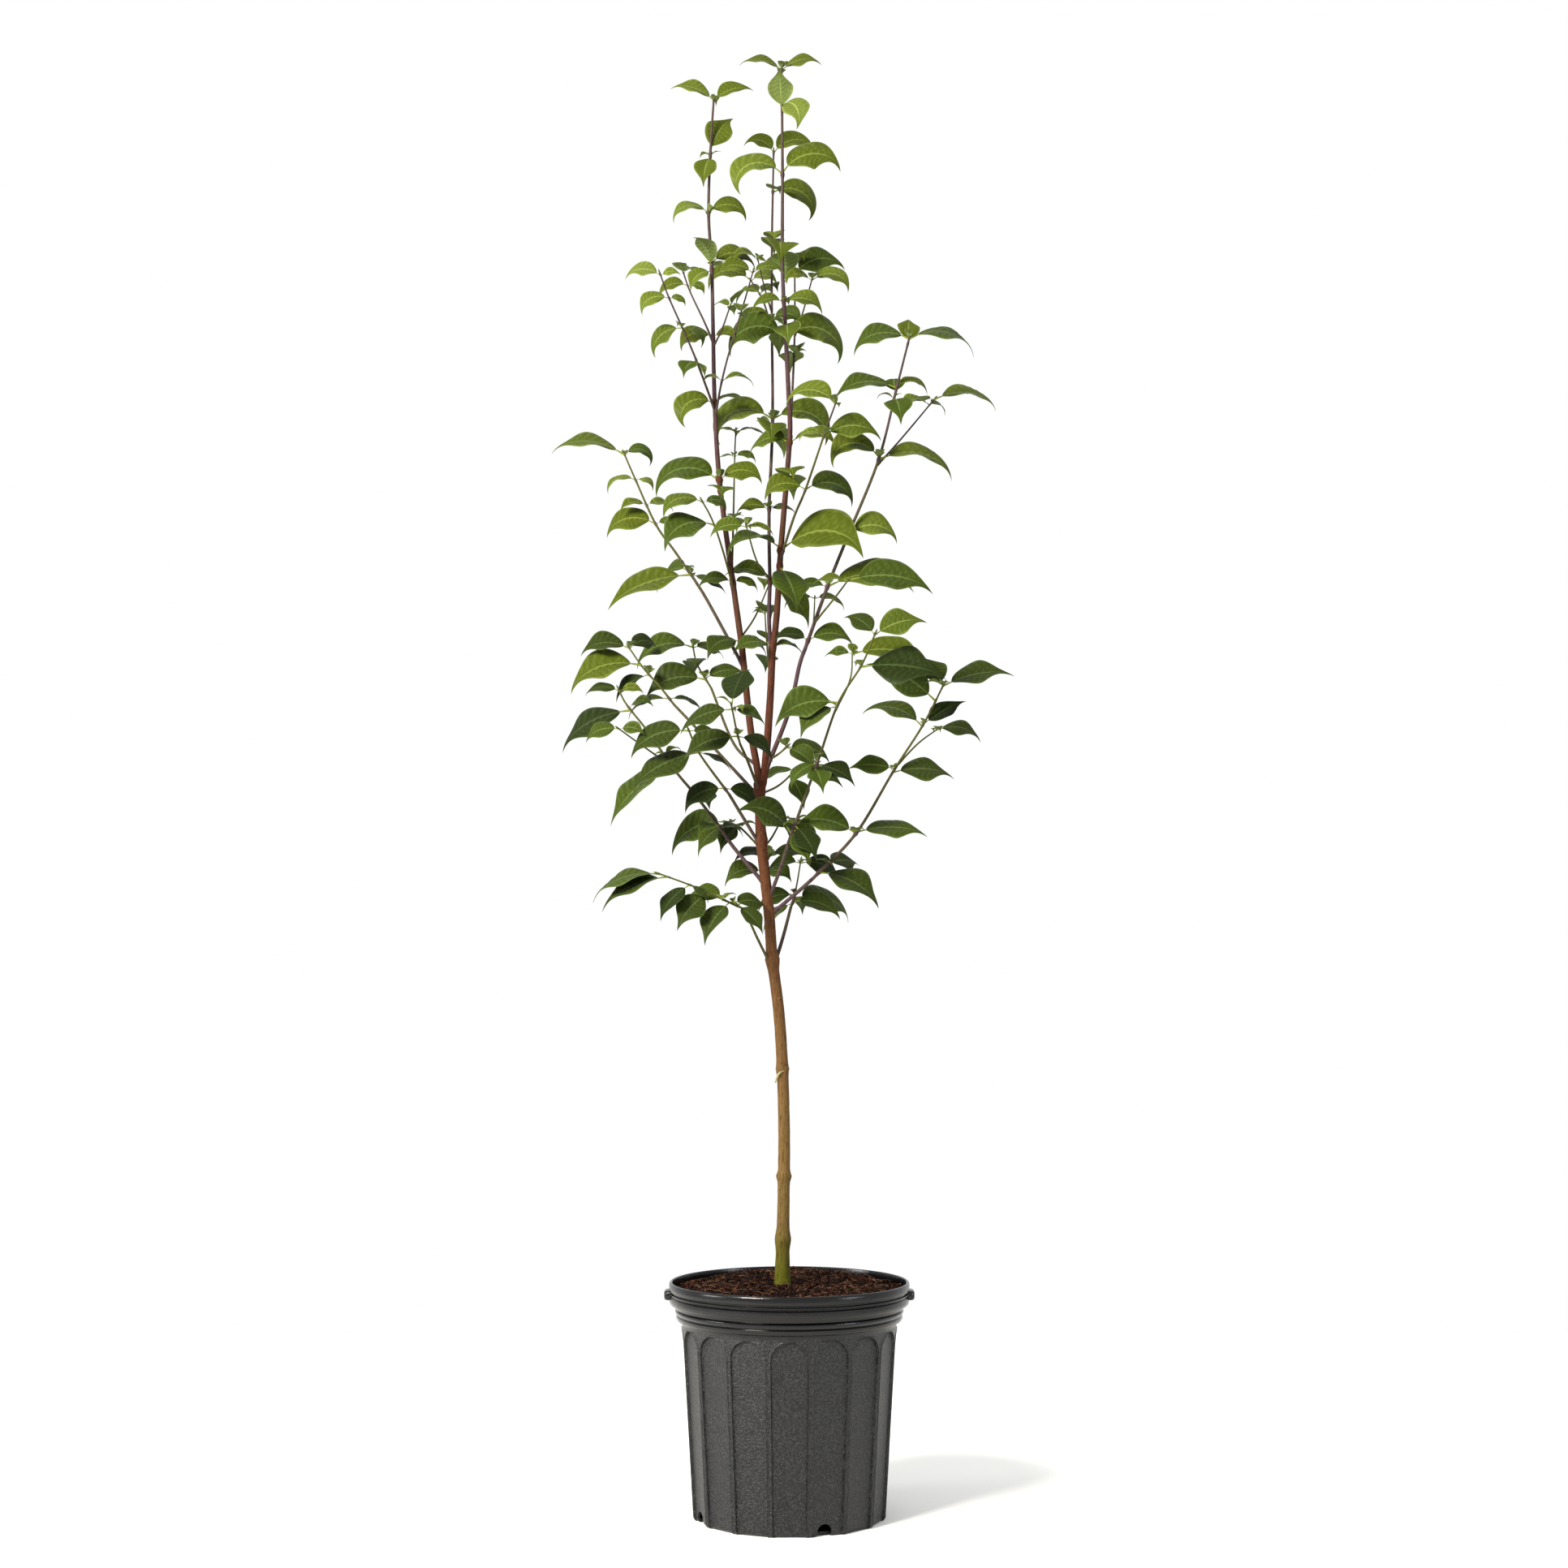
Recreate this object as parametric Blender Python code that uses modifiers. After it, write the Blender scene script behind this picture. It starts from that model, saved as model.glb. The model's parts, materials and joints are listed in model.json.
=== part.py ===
"""A young flowering dogwood with three leaders, in a black fluted nursery pot.

Metres, +Z up. The origin is the middle of the pot's flat underside, +X is the
viewer's right and -Y faces the viewer. Sizes in the tables are millimetres.
The pot, its bark mix, the trunk, each bough and each mass of foliage is one
closed object, and neighbours keep a gap of CLEAR.
"""
import math
import random
from dataclasses import dataclass, replace

import bmesh
import bpy
from mathutils import Matrix, Vector
from mathutils.bvhtree import BVHTree

MM = 0.001
CLEAR = 0.3
COLLECTION = "potted_dogwood"

# Pot
POT_STEPS = 48
POT_HEIGHT = 270.0
LIP_RADIUS = 140.0
BODY_TOP = (125.0, 221.5)
BODY_FOOT = (111.5, 3.0)
WALL = 4.0
FLUTES = 16
FLUTE_DEPTH = 2.4
FLUTE_HALF_WIDTHS = (21.2, 18.8)
FLUTE_SPRING = 197.0
HOLES = 4
HOLE_TURN = 21.0
HOLE_HALF_WIDTH = 8.5
HOLE_SPRING = 5.5
LUG_SIZE = (9.0, 30.0, 11.0)
LUG_HEIGHT = 253.0

# Bark mix
MIX_TOP = 266.0
MIX_EDGE = 261.5
MIX_FLAT = 18.0

# Trunk: its girth is an even taper with a root flare and a swelling at each old node
TRUNK_FOOT = MIX_TOP + CLEAR
TRUNK_ROUTE = (
    (-8, 0, TRUNK_FOOT), (-8, 0, 290), (-7, 0, 350), (-6, 0, 435), (-8, 0, 515),
    (-12, 0, 580), (-20, 0, 645), (-24, 0, 700), (-33, 0, 785), (-35, 0, 852),
)
TRUNK_GIRTH = (14.4, 12.2)
TRUNK_FLARE = (3.0, 30.0)
TRUNK_SPACING = 17.0
BOUGH_SPACING = 28.0
TRUNK_NODES = ((318, 1.9, 9), (391, 2.0, 5), (516, 0.9, 8), (643, 2.0, 8), (784, 1.3, 8), (850, 1.2, 12))

# Leaves: shares of the leaf's length
PETIOLE = 0.125
HALF_WIDTH = 0.29
LEAF_THICKNESS = 1.5
PETIOLE_THICKNESS = 1.5
ROOT_SHRINK = 0.7
SMALLEST_LEAF = 43.0
ROOT_SINK = 3.0
LEAF_STEPS = 24
CROWN_LOW = (750, 4, 68)
CROWN_HIGH = (1700, 58, 130)
TWIG_SPACING = 55.0
TRY_TURNS = (0, 12, -12, 24, -24, 38, -38, 55, -55)
BOW = 0.05


@dataclass(frozen=True)
class Pair:
    """Two opposite leaves at one node of a shoot."""

    height: float        # of the node above the floor
    turn: float          # way the first leaf points, degrees from +X towards +Y
    first: float         # its length, or 0 for none
    second: float        # the length of the leaf opposite it, or 0
    lift: float = 0.0    # angle above level at which they leave the stem; 0 takes the crown's
    droop: float = 0.0   # angle through which they bend down to their tips; 0 takes the crown's
    bank: float = 30.0   # how far their upper faces turn to the front, where the light is


@dataclass(frozen=True)
class Shoot:
    """A bough, or one shoot of a mass, that grows from its parent through its route."""

    name: str
    parent: str
    root: float          # height where it leaves the parent, or 0 to carry on from its tip
    route: tuple
    girth: tuple         # diameters at its root and at its tip
    pairs: tuple = ()


@dataclass(frozen=True)
class Leaf:
    """One leaf: where it starts, where it points and how it curves, in metres and degrees."""

    base: Vector
    turn: float
    lift: float
    droop: float
    sweep: float
    roll: float
    fold: float
    length: float


BOUGHS = (
    Shoot("middle_leader", "trunk", 844, ((-29, 0, 866), (-23, 0, 943), (-20, 0, 1006)), (9.4, 8.2)),
    Shoot("left_leader", "trunk", 844, ((-38, 0, 870), (-46, 1, 918), (-56, 4, 1013)), (8.6, 7.6)),
    Shoot("twin_leader", "middle_leader", 966,
          ((-22, 10, 1004), (-24, 13, 1050), (-23, 14, 1088)), (5.2, 4.6)),
    Shoot("right_bough", "middle_leader", 862,
          ((-1, -6, 934), (12, -10, 990), (19, -12, 1010)), (5.6, 4.6)),
    Shoot("upper_left_bough", "left_leader", 988, ((-96, 9, 1067), (-113, 13, 1095)), (4.2, 3.4)),
    Shoot("middle_left_bough", "trunk", 834,
          ((-81, 14, 885), (-112, 26, 920), (-138, 36, 948)), (4.2, 3.0)),
    Shoot("back_left_bough", "left_leader", 872, ((-66, 26, 900), (-94, 62, 970)), (3.6, 2.8)),
    Shoot("front_left_bough", "trunk", 840, ((-49, -32, 876), (-57, -56, 893)), (3.6, 2.8)),
    Shoot("green_left_bough", "trunk", 774, ((-59, -16, 818), (-70, -25, 836)), (4.2, 3.6)),
    Shoot("long_left_bough", "trunk", 730, ((-65, 5, 775), (-78, 7, 794)), (4.8, 4.2)),
    Shoot("front_right_bough", "trunk", 712, ((-12, -9, 746), (-1, -22, 780)), (4.4, 4.0)),
    Shoot("long_right_bough", "trunk", 695, ((10, -4, 723), (28, -6, 739)), (4.8, 4.2)),
    Shoot("low_left_bough", "trunk", 630, ((-38, -16, 670), (-52, -35, 702)), (3.4, 2.6)),
    Shoot("low_right_bough", "trunk", 634, ((-8, 28, 668), (2, 62, 706)), (4.6, 3.6)),
    Shoot("back_bough", "middle_leader", 925, ((-20, 60, 962), (-25, 110, 1003)), (3.6, 2.8)),
)

MASSES = {
    "left_leader_leaves": (
        Shoot("left_leader_stem", "left_leader", 0,
              ((-67, 6, 1091), (-83, 9, 1212), (-89, 11, 1306), (-91, 13, 1387), (-93, 15, 1472),
               (-97, 17, 1540), (-95, 19, 1615), (-91, 20, 1682)), (7.4, 2.6),
              (Pair(1019, 202, 62, 42, 12, 85, 40), Pair(1091, 190, 46, 38), Pair(1200, 268, 60, 0, 20, 80),
               Pair(1212, 176, 102, 0, 44, 128, 44), Pair(1214, 356, 62, 0, 42, 110, 44),
               Pair(1306, 196, 72, 0, 24, 150, 44), Pair(1308, 8, 46, 0, 40, 100),
               Pair(1387, 182, 54, 42, 35, 125, 46), Pair(1472, 250, 56, 0, 66, 70),
               Pair(1478, 8, 66, 0, 48, 105, 50), Pair(1468, 215, 46, 0, -10, 80, 44),
               Pair(1540, 183, 60, 60, 42, 125, 42), Pair(1610, 255, 52, 0, -40, 45, 30),
               Pair(1616, 40, 62, 0, 72, 35, 60), Pair(1682, 184, 58, 52, 42, 70, 44))),
        Shoot("left_side_shoot", "left_leader_stem", 1298,
              ((-113, -28, 1358), (-140, -58, 1415), (-151, -70, 1443)), (3.0, 1.8),
              (Pair(1350, 240, 46, 26, -15, 70), Pair(1385, 178, 56, 40, 6, 110, 40),
               Pair(1416, 190, 46, 24, 25, 120, 46), Pair(1443, 178, 48, 26, 35, 90, 46))),
        Shoot("left_back_shoot", "left_leader_stem", 1380,
              ((-101, 15, 1405), (-120, 45, 1451), (-129, 60, 1479)), (2.6, 1.8),
              (Pair(1460, 182, 46, 26, 25, 110, 46), Pair(1479, 250, 32, 44, 60))),
        Shoot("left_front_spur", "left_leader_stem", 1376, ((-69, -58, 1408),), (2.4, 1.6),
              (Pair(1408, 322, 46, 30, 50, 90, 46),)),
        Shoot("left_inner_shoot", "left_leader_stem", 1290,
              ((-81, -12, 1324), (-71, -30, 1359), (-53, -56, 1412), (-42, -75, 1445)), (2.8, 1.6),
              (Pair(1328, 2, 46, 30, 40), Pair(1400, 280, 34, 30), Pair(1445, 12, 46, 44, 40, 100, 46))),
        Shoot("left_rear_shoot", "left_leader_stem", 1100,
              ((-67, 20, 1158), (-66, 60, 1252), (-65, 75, 1287)), (2.8, 1.6),
              (Pair(1170, 80, 44, 34), Pair(1252, 180, 28, 32), Pair(1287, 2, 46, 28))),
        Shoot("left_low_shoot", "left_leader_stem", 1082,
              ((-80, -25, 1130), (-91, -42, 1159), (-102, -55, 1178)), (2.8, 1.8),
              (Pair(1152, 200, 80, 0, 14, 100, 50), Pair(1178, 180, 60, 36, 32, 112, 44))),
        Shoot("left_hidden_shoot", "left_leader_stem", 1024, ((-24, 120, 1106),), (2.6, 1.6),
              (Pair(1106, 80, 46, 40, 30),)),
    ),
    "middle_leader_leaves": (
        Shoot("middle_leader_stem", "middle_leader", 0,
              ((-15, 0, 1049), (-10, 0, 1128), (-3, 0, 1214), (1, 0, 1272), (-1, 0, 1321),
               (-4, 0, 1385), (-8, 0, 1468), (-8, 0, 1582), (-9, 0, 1712)), (8.0, 2.6),
              (Pair(1013, 205, 58, 44, 22, 88), Pair(1108, 288, 86, 0, -30, 45),
               Pair(1128, 337, 130, 0, 34, 104, 46), Pair(1130, 196, 92, 0, 36, 112, 20),
               Pair(1214, 272, 62, 70), Pair(1257, 338, 66, 62, 30, 100, 44),
               Pair(1385, 4, 104, 94, 36, 142, 46), Pair(1396, 278, 62, 56, 10),
               Pair(1427, 4, 56, 46, 22, 95, 44), Pair(1488, 262, 78, 62, 20),
               Pair(1582, 178, 88, 0, 44, 160, 50), Pair(1584, 0, 84, 0, 54, 122, 50),
               Pair(1660, 262, 56, 0, 70, 45), Pair(1667, 312, 62, 0, 10, 125, 40),
               Pair(1712, 176, 54, 56, 40, 80, 42))),
        Shoot("middle_back_shoot", "middle_leader_stem", 1262,
              ((4, 30, 1327), (7, 78, 1416), (7, 120, 1506)), (3.2, 2.0),
              (Pair(1375, 95, 56, 40), Pair(1490, 10, 74, 50, 58, 112, 48), Pair(1506, 285, 50, 44, 55))),
        Shoot("middle_back_spur", "middle_back_shoot", 1402, ((28, 38, 1466),), (2.4, 1.6),
              (Pair(1466, 352, 58, 42, 40, 115, 46),)),
        Shoot("middle_front_shoot", "middle_leader_stem", 1116,
              ((5, -20, 1163), (19, -38, 1194), (40, -70, 1251), (54, -90, 1287)), (3.4, 2.0),
              (Pair(1194, 3, 74, 62, 38, 120, 44), Pair(1251, 5, 76, 36, 34, 100, 46),
               Pair(1287, 172, 70, 0, 48, 110, 48))),
    ),
    "twin_leader_leaves": (
        Shoot("twin_leader_stem", "twin_leader", 0,
              ((-24, 25, 1181), (-20, 41, 1291), (-21, 60, 1419), (-21, 74, 1519), (-19, 90, 1639)),
              (4.4, 2.2),
              (Pair(1095, 176, 66, 0, 44, 90, 44), Pair(1093, 14, 78, 0, -20, 62, 66),
               Pair(1181, 180, 46, 38), Pair(1284, 268, 64, 62, 10), Pair(1294, 178, 102, 98, 36, 145, 44),
               Pair(1421, 184, 52, 48, 40, 125, 46), Pair(1519, 95, 52, 50),
               Pair(1587, 285, 46, 0, 1, 60), Pair(1585, 8, 78, 0, 34, 155, 56),
               Pair(1639, 182, 48, 0, 62, 120, 55), Pair(1636, 4, 64, 0, 60, 110, 60))),
        Shoot("twin_back_shoot", "twin_leader_stem", 1408,
              ((-32, 92, 1452), (-48, 125, 1487)), (2.6, 1.8),
              (Pair(1462, 130, 56, 46), Pair(1487, 184, 70, 44, 46, 125, 50))),
        Shoot("twin_inner_spur", "twin_leader_stem", 1430, ((-38, 24, 1486),), (2.2, 1.4),
              (Pair(1486, 186, 44, 44, 40),)),
        Shoot("twin_front_shoot", "twin_leader_stem", 1096,
              ((-38, -34, 1110), (-50, -84, 1144)), (2.6, 1.6),
              (Pair(1144, 186, 50, 34, 20, 80, 40),)),
    ),
    "right_bough_leaves": (
        Shoot("right_bough_stem", "right_bough", 0,
              ((45, -17, 1082), (70, -24, 1144), (105, -36, 1230), (126, -45, 1313), (141, -55, 1372)),
              (4.4, 2.4),
              (Pair(1019, 4, 62, 46, 32, 90, 42), Pair(1082, 0, 114, 44, 26, 64, 34),
               Pair(1144, 8, 72, 0, 36, 100, 44), Pair(1143, 188, 78, 0, 50, 112, 46),
               Pair(1230, 356, 106, 0, 28, 90, 36), Pair(1232, 178, 84, 0, 58, 150, 50),
               Pair(1300, 272, 62, 0, -5, 80), Pair(1306, 100, 50, 0, 60, 60),
               Pair(1313, 182, 86, 0, 28, 80, 38), Pair(1316, 20, 48, 0, 40, 110, 44),
               Pair(1364, 78, 48, 0, 72, 50), Pair(1372, 0, 92, 78, 28, 92, 38))),
        Shoot("right_back_shoot", "right_bough_stem", 1222,
              ((132, 4, 1261), (177, 52, 1322)), (2.6, 1.8),
              (Pair(1312, 200, 44, 40), Pair(1322, 0, 88, 44, 22, 82, 36))),
        Shoot("right_front_shoot", "right_bough_stem", 1040,
              ((54, -58, 1065), (68, -92, 1080)), (2.6, 1.8),
              (Pair(1080, 3, 108, 42, 18, 58, 38),)),
        Shoot("right_inner_spur", "right_bough_stem", 1036, ((31, 58, 1080),), (2.2, 1.4),
              (Pair(1080, 190, 46, 44, 20),)),
    ),
    "right_spur_leaves": (
        Shoot("right_spur", "right_bough", 880, ((-2, -16, 894),), (2.6, 2.0),
              (Pair(892, 12, 62, 0, 10, 60, 40), Pair(894, 340, 54, 0, -10, 50, 40))),
    ),
    "upper_left_leaves": (
        Shoot("upper_left_stem", "upper_left_bough", 0,
              ((-136, 19, 1129), (-160, 27, 1164), (-185, 42, 1220), (-200, 52, 1255)), (3.2, 2.0),
              (Pair(1101, 184, 108, 48, -6, 46, 26), Pair(1107, 152, 74, 0, 20, 80, 44),
               Pair(1164, 180, 70, 40, 30, 105, 44), Pair(1188, 204, 38, 38),
               Pair(1220, 186, 46, 30, 26, 120),
               Pair(1255, 180, 96, 0, 28, 72, 34), Pair(1255, 4, 50, 0, 44, 150, 50))),
    ),
    "middle_left_leaves": (
        Shoot("middle_left_stem", "middle_left_bough", 0,
              ((-155, 43, 970), (-176, 51, 994), (-194, 60, 1020)), (2.8, 1.8),
              (Pair(955, 178, 62, 48, 10), Pair(985, 192, 58, 0, -12, 56, 36),
               Pair(997, 182, 102, 0, 8, 78, 34),
               Pair(1020, 182, 68, 0, 26, 84, 50), Pair(1019, 30, 46, 0, 46, 100, 50))),
    ),
    "back_left_leaves": (
        Shoot("back_left_stem", "back_left_bough", 0, ((-112, 88, 1002), (-118, 108, 1027)), (2.6, 1.8),
              (Pair(981, 182, 84, 0, 12, 76, 44), Pair(983, 20, 56, 0, 34, 60, 44), Pair(1004, 92, 56, 44),
               Pair(1027, 178, 80, 0, 24, 98, 48), Pair(1025, 30, 48, 0, 20, 60, 40))),
    ),
    "front_left_leaves": (
        Shoot("front_left_stem", "front_left_bough", 0, ((-61, -80, 908), (-66, -122, 933)), (2.6, 1.8),
              (Pair(901, 190, 72, 54, -4, 55, 40), Pair(928, 184, 68, 44, -2, 46, 34),
               Pair(933, 296, 68, 0, 66, 60))),
    ),
    "green_left_leaves": (
        Shoot("green_left_stem", "green_left_bough", 0, ((-104, -50, 882), (-117, -66, 910)), (3.2, 2.0),
              (Pair(843, 190, 60, 52, 4, 84, 40), Pair(884, 192, 92, 44, -14, 40, 26),
               Pair(910, 182, 78, 48, 10, 78, 44))),
    ),
    "long_left_leaves": (
        Shoot("long_left_stem", "long_left_bough", 0,
              ((-112, 13, 839), (-136, 17, 868), (-168, 23, 914), (-194, 28, 947), (-204, 30, 966)),
              (4.0, 2.0),
              (Pair(800, 238, 46, 42, 12, 70, 40), Pair(836, 75, 54, 0, 20),
               Pair(880, 186, 102, 0, -38, 20, 22),
               Pair(884, 236, 62, 0, -54, 20, 30), Pair(940, 184, 102, 0, -6, 48, 28),
               Pair(943, 24, 46, 0, 44, 100, 40),
               Pair(966, 176, 46, 34, 26, 70, 40))),
        Shoot("long_left_spur", "long_left_stem", 872, ((-178, -22, 898), (-199, -52, 912)), (2.4, 1.6),
              (Pair(912, 172, 48, 38, 14, 70, 44),)),
    ),
    "front_right_leaves": (
        Shoot("front_right_stem", "front_right_bough", 0,
              ((33, -65, 873), (56, -98, 937), (82, -122, 978), (97, -142, 1012)), (3.8, 2.0),
              (Pair(790, 200, 80, 0, 56, 90, 56), Pair(800, 312, 60, 0, -28, 40, 30),
               Pair(796, 300, 56, 0, -40, 30, 30), Pair(868, 345, 56, 0, -10, 48, 34),
               Pair(864, 284, 54, 0, -18, 50), Pair(870, 188, 46, 0, -16, 60, 30),
               Pair(937, 184, 88, 0, 14, 70, 44), Pair(933, 206, 62, 0, -12, 56, 40),
               Pair(976, 354, 104, 0, 2, 36, 50), Pair(1012, 14, 66, 0, 34, 44, 60),
               Pair(1011, 150, 48, 0, 56, 56, 50))),
        Shoot("front_right_spur", "front_right_stem", 926, ((70, -76, 966), (73, -64, 1000)), (2.4, 1.6),
              (Pair(1000, 356, 98, 34, 14, 52, 40),)),
    ),
    "long_right_leaves": (
        Shoot("long_right_stem", "long_right_bough", 0,
              ((78, -16, 791), (122, -30, 864), (156, -41, 917), (180, -50, 964)), (4.0, 2.0),
              (Pair(746, 350, 92, 0, -2, 62, 24), Pair(756, 30, 58, 0, 14, 30, 44),
               Pair(791, 182, 78, 0, 32, 58, 56), Pair(793, 0, 86, 0, 16, 50, 38),
               Pair(862, 2, 74, 0, 14, 40, 32), Pair(866, 182, 58, 0, 16, 44, 46),
               Pair(915, 178, 80, 0, 48, 70, 34), Pair(918, 4, 56, 0, 32, 18, 52),
               Pair(944, 184, 98, 0, 42, 44, 56), Pair(962, 120, 62, 0, 56, 20, 50),
               Pair(964, 4, 90, 0, 28, 40, 38))),
        Shoot("long_right_spur", "long_right_stem", 870, ((152, -4, 898), (177, 34, 918)), (2.4, 1.6),
              (Pair(918, 0, 60, 0, 24, 70, 40),)),
    ),
    "low_left_leaves": (
        Shoot("low_left_stem", "low_left_bough", 0,
              ((-94, -50, 721), (-115, -58, 730), (-151, -70, 743)), (2.4, 1.8),
              (Pair(706, 325, 50, 0, -24, 44, 40), Pair(708, 30, 54, 0, 26, 70, 40),
               Pair(710, 232, 64, 0, -34, 40, 36), Pair(713, 150, 54, 0, 30, 60, 40),
               Pair(721, 214, 66, 0, -30, 44, 36), Pair(730, 202, 58, 34, -26, 50, 36),
               Pair(739, 190, 88, 0, -10, 50, 26), Pair(743, 176, 92, 0, 2, 60, 26))),
    ),
    "low_right_leaves": (
        Shoot("low_right_stem", "low_right_bough", 0, ((8, 76, 723),), (3.2, 2.2),
              (Pair(711, 186, 54, 0, -24, 50, 34), Pair(713, 350, 64, 0, 12, 56, 46),
               Pair(716, 3, 98, 0, 16, 74, 42),
               Pair(718, 75, 58, 0, 10), Pair(723, 186, 52, 0, 12, 80, 40))),
        Shoot("low_right_spur", "low_right_stem", 714, ((14, 66, 762),), (2.2, 1.6),
              (Pair(762, 184, 48, 58, 14, 80, 46),)),
    ),
    "left_spur_leaves": (
        Shoot("left_spur", "trunk", 772, ((-58, 34, 800), (-77, 60, 809)), (2.8, 2.0),
              (Pair(800, 105, 52, 0, 20), Pair(803, 236, 48, 0, -30, 50),
               Pair(806, 208, 64, 0, -16, 60, 40),
               Pair(809, 188, 96, 0, 8, 82, 44))),
    ),
    "right_hanging_leaves": (
        Shoot("right_hanging_spur", "trunk", 773, ((-9, 58, 812),), (2.8, 2.0),
              (Pair(808, 348, 62, 0, -28, 40, 44), Pair(812, 322, 70, 0, -22, 44, 40),
               Pair(810, 60, 50, 0, 20))),
    ),
    "fork_spur_leaves": (
        Shoot("fork_spur", "trunk", 838, ((10, 78, 874),), (2.8, 2.0),
              (Pair(864, 314, 50, 0, -40, 30, 36), Pair(874, 352, 60, 50, -2, 46, 34))),
    ),
    "back_low_leaves": (
        Shoot("back_low_stem", "trunk", 722, ((-30, 62, 750), (-22, 96, 772)), (3.0, 2.0),
              (Pair(748, 184, 56, 50, 16, 80, 40), Pair(772, 100, 58, 0, 20), Pair(770, 195, 52, 46, 20))),
    ),
    "back_leaves": (
        Shoot("back_stem", "back_bough", 0, ((-28, 140, 1042), (-30, 156, 1074)), (2.6, 1.8),
              (Pair(1012, 95, 52, 0, 20), Pair(1042, 80, 58, 0, 30), Pair(1074, 90, 58, 48, 40))),
    ),
}


# Stems

def blend(points, place):
    """A point on the smooth curve through the points, at place spans from the first."""
    span = min(int(place), len(points) - 2)
    share = place - span
    before = points[span - 1] if span else points[0] * 2 - points[1]
    start, end = points[span], points[span + 1]
    after = points[span + 2] if span + 2 < len(points) else end * 2 - start
    return (start * 2 + (end - before) * share
            + (before * 2 - start * 5 + end * 4 - after) * share ** 2
            + (start * 3 - before - end * 3 + after) * share ** 3) / 2


class Path:
    """The middle line of a trunk, bough or shoot, with its thickness."""

    SPAN_STEPS = 10

    def __init__(self, points, girth, flare=(0.0, 1.0), nodes=(), heading=None):
        count = (len(points) - 1) * self.SPAN_STEPS
        self.line = [blend(points, i / self.SPAN_STEPS) for i in range(count + 1)]
        self.reach = [0.0]
        for start, end in zip(self.line, self.line[1:]):
            self.reach.append(self.reach[-1] + (end - start).length)
        self.girth, self.flare, self.nodes, self.heading = girth, flare, nodes, heading
        self.marks = []

    @property
    def length(self):
        return self.reach[-1]

    def point(self, share):
        """The point at a share of the length."""
        goal = share * self.length
        index = next((i for i, r in enumerate(self.reach[1:]) if r >= goal), len(self.line) - 2)
        part = (goal - self.reach[index]) / (self.reach[index + 1] - self.reach[index])
        return self.line[index].lerp(self.line[index + 1], part)

    def share_at(self, height):
        """The share of the length at which the path first reaches a height."""
        for index, (start, end) in enumerate(zip(self.line, self.line[1:])):
            if end.z >= height:
                part = max(0.0, (height - start.z) / (end.z - start.z))
                return (self.reach[index] + part * (end - start).length) / self.length
        return 1.0

    def tangent(self, share):
        """The way the path runs; at its root, square to the end that it carries on from."""
        if share == 0 and self.heading:
            return self.heading
        step = 0.01
        return (self.point(min(1.0, share + step)) - self.point(max(0.0, share - step))).normalized()

    def stations(self):
        """The shares at which a twig's skin has its rings: at each leaf or side shoot, and between."""
        kept = [0.0]
        for mark in sorted(self.marks):
            if min(mark - kept[-1], 1 - mark) * self.length > ROOT_SINK:
                kept.append(mark)
        kept.append(1.0)
        shares = [0.0]
        for low, high in zip(kept, kept[1:]):
            count = math.ceil((high - low) * self.length / TWIG_SPACING)
            shares += [low + (high - low) * (i + 1) / count for i in range(count)]
        return shares

    def skin_shares(self):
        """The shares of the length at which a limb's skin has its rings."""
        spacing = TRUNK_SPACING if self.nodes else BOUGH_SPACING
        steps = max(2, round(self.length / spacing))
        return [step / steps for step in range(steps + 1)]

    def tip_heading(self):
        """The way the last piece of a limb's skin runs, square to its flat end."""
        return (self.point(1.0) - self.point(self.skin_shares()[-2])).normalized()

    def radius(self, share):
        """Half the thickness: an even taper, a flare at the foot and a swelling at each node."""
        point = self.point(share)
        radius = (self.girth[0] + (self.girth[1] - self.girth[0]) * share) / 2
        radius += self.flare[0] * math.exp(-share * self.length / self.flare[1])
        for height, extra, width in self.nodes:
            radius += extra * math.exp(-(((point.z - height) / width) ** 2))
        return radius


def shoot_path(shoot, paths):
    """A shoot's path, from its parent's middle line or from just past its parent's tip."""
    parent = paths[shoot.parent]
    heading = None
    if shoot.root:
        parent.marks.append(parent.share_at(shoot.root))
        start = parent.point(parent.marks[-1])
    else:
        heading = parent.tip_heading()
        start = parent.point(1.0) + heading * CLEAR
    points = [start, *(Vector(p) for p in shoot.route)]
    if len(points) == 2:
        middle = points[0].lerp(points[1], 0.5)
        middle.z -= BOW * (points[1] - points[0]).length
        points.insert(1, middle)
    path = Path(points, shoot.girth, heading=heading)
    path.marks += [path.share_at(pair.height) for pair in shoot.pairs]
    return path


def grow_stems():
    """The path of the trunk and of every bough and shoot, by name."""
    trunk = [Vector(p) for p in TRUNK_ROUTE]
    paths = {"trunk": Path(trunk, TRUNK_GIRTH, TRUNK_FLARE, TRUNK_NODES)}
    for shoot in (*BOUGHS, *(s for mass in MASSES.values() for s in mass)):
        paths[shoot.name] = shoot_path(shoot, paths)
    return paths


# Leaves

def blade_width(share):
    """Half the blade's width at a share of its length, as a share of the widest."""
    return max(0.0, math.sin(math.pi * share ** 0.82)) ** 0.9 * (1 - 0.35 * share ** 4)


def leaf_frame(leaf, share):
    """The leaf's heading, side and top directions at a share of its length."""
    turn = math.radians(leaf.turn + leaf.sweep * share)
    rise = math.radians(leaf.lift - leaf.droop * share ** 1.25)
    heading = Vector((math.cos(rise) * math.cos(turn), math.cos(rise) * math.sin(turn), math.sin(rise)))
    side = Vector((-math.sin(turn), math.cos(turn), 0.0))
    tilt = Matrix.Rotation(math.radians(leaf.roll) * min(1.0, share / PETIOLE), 3, heading)
    return heading, tilt @ side, tilt @ heading.cross(side)


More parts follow.
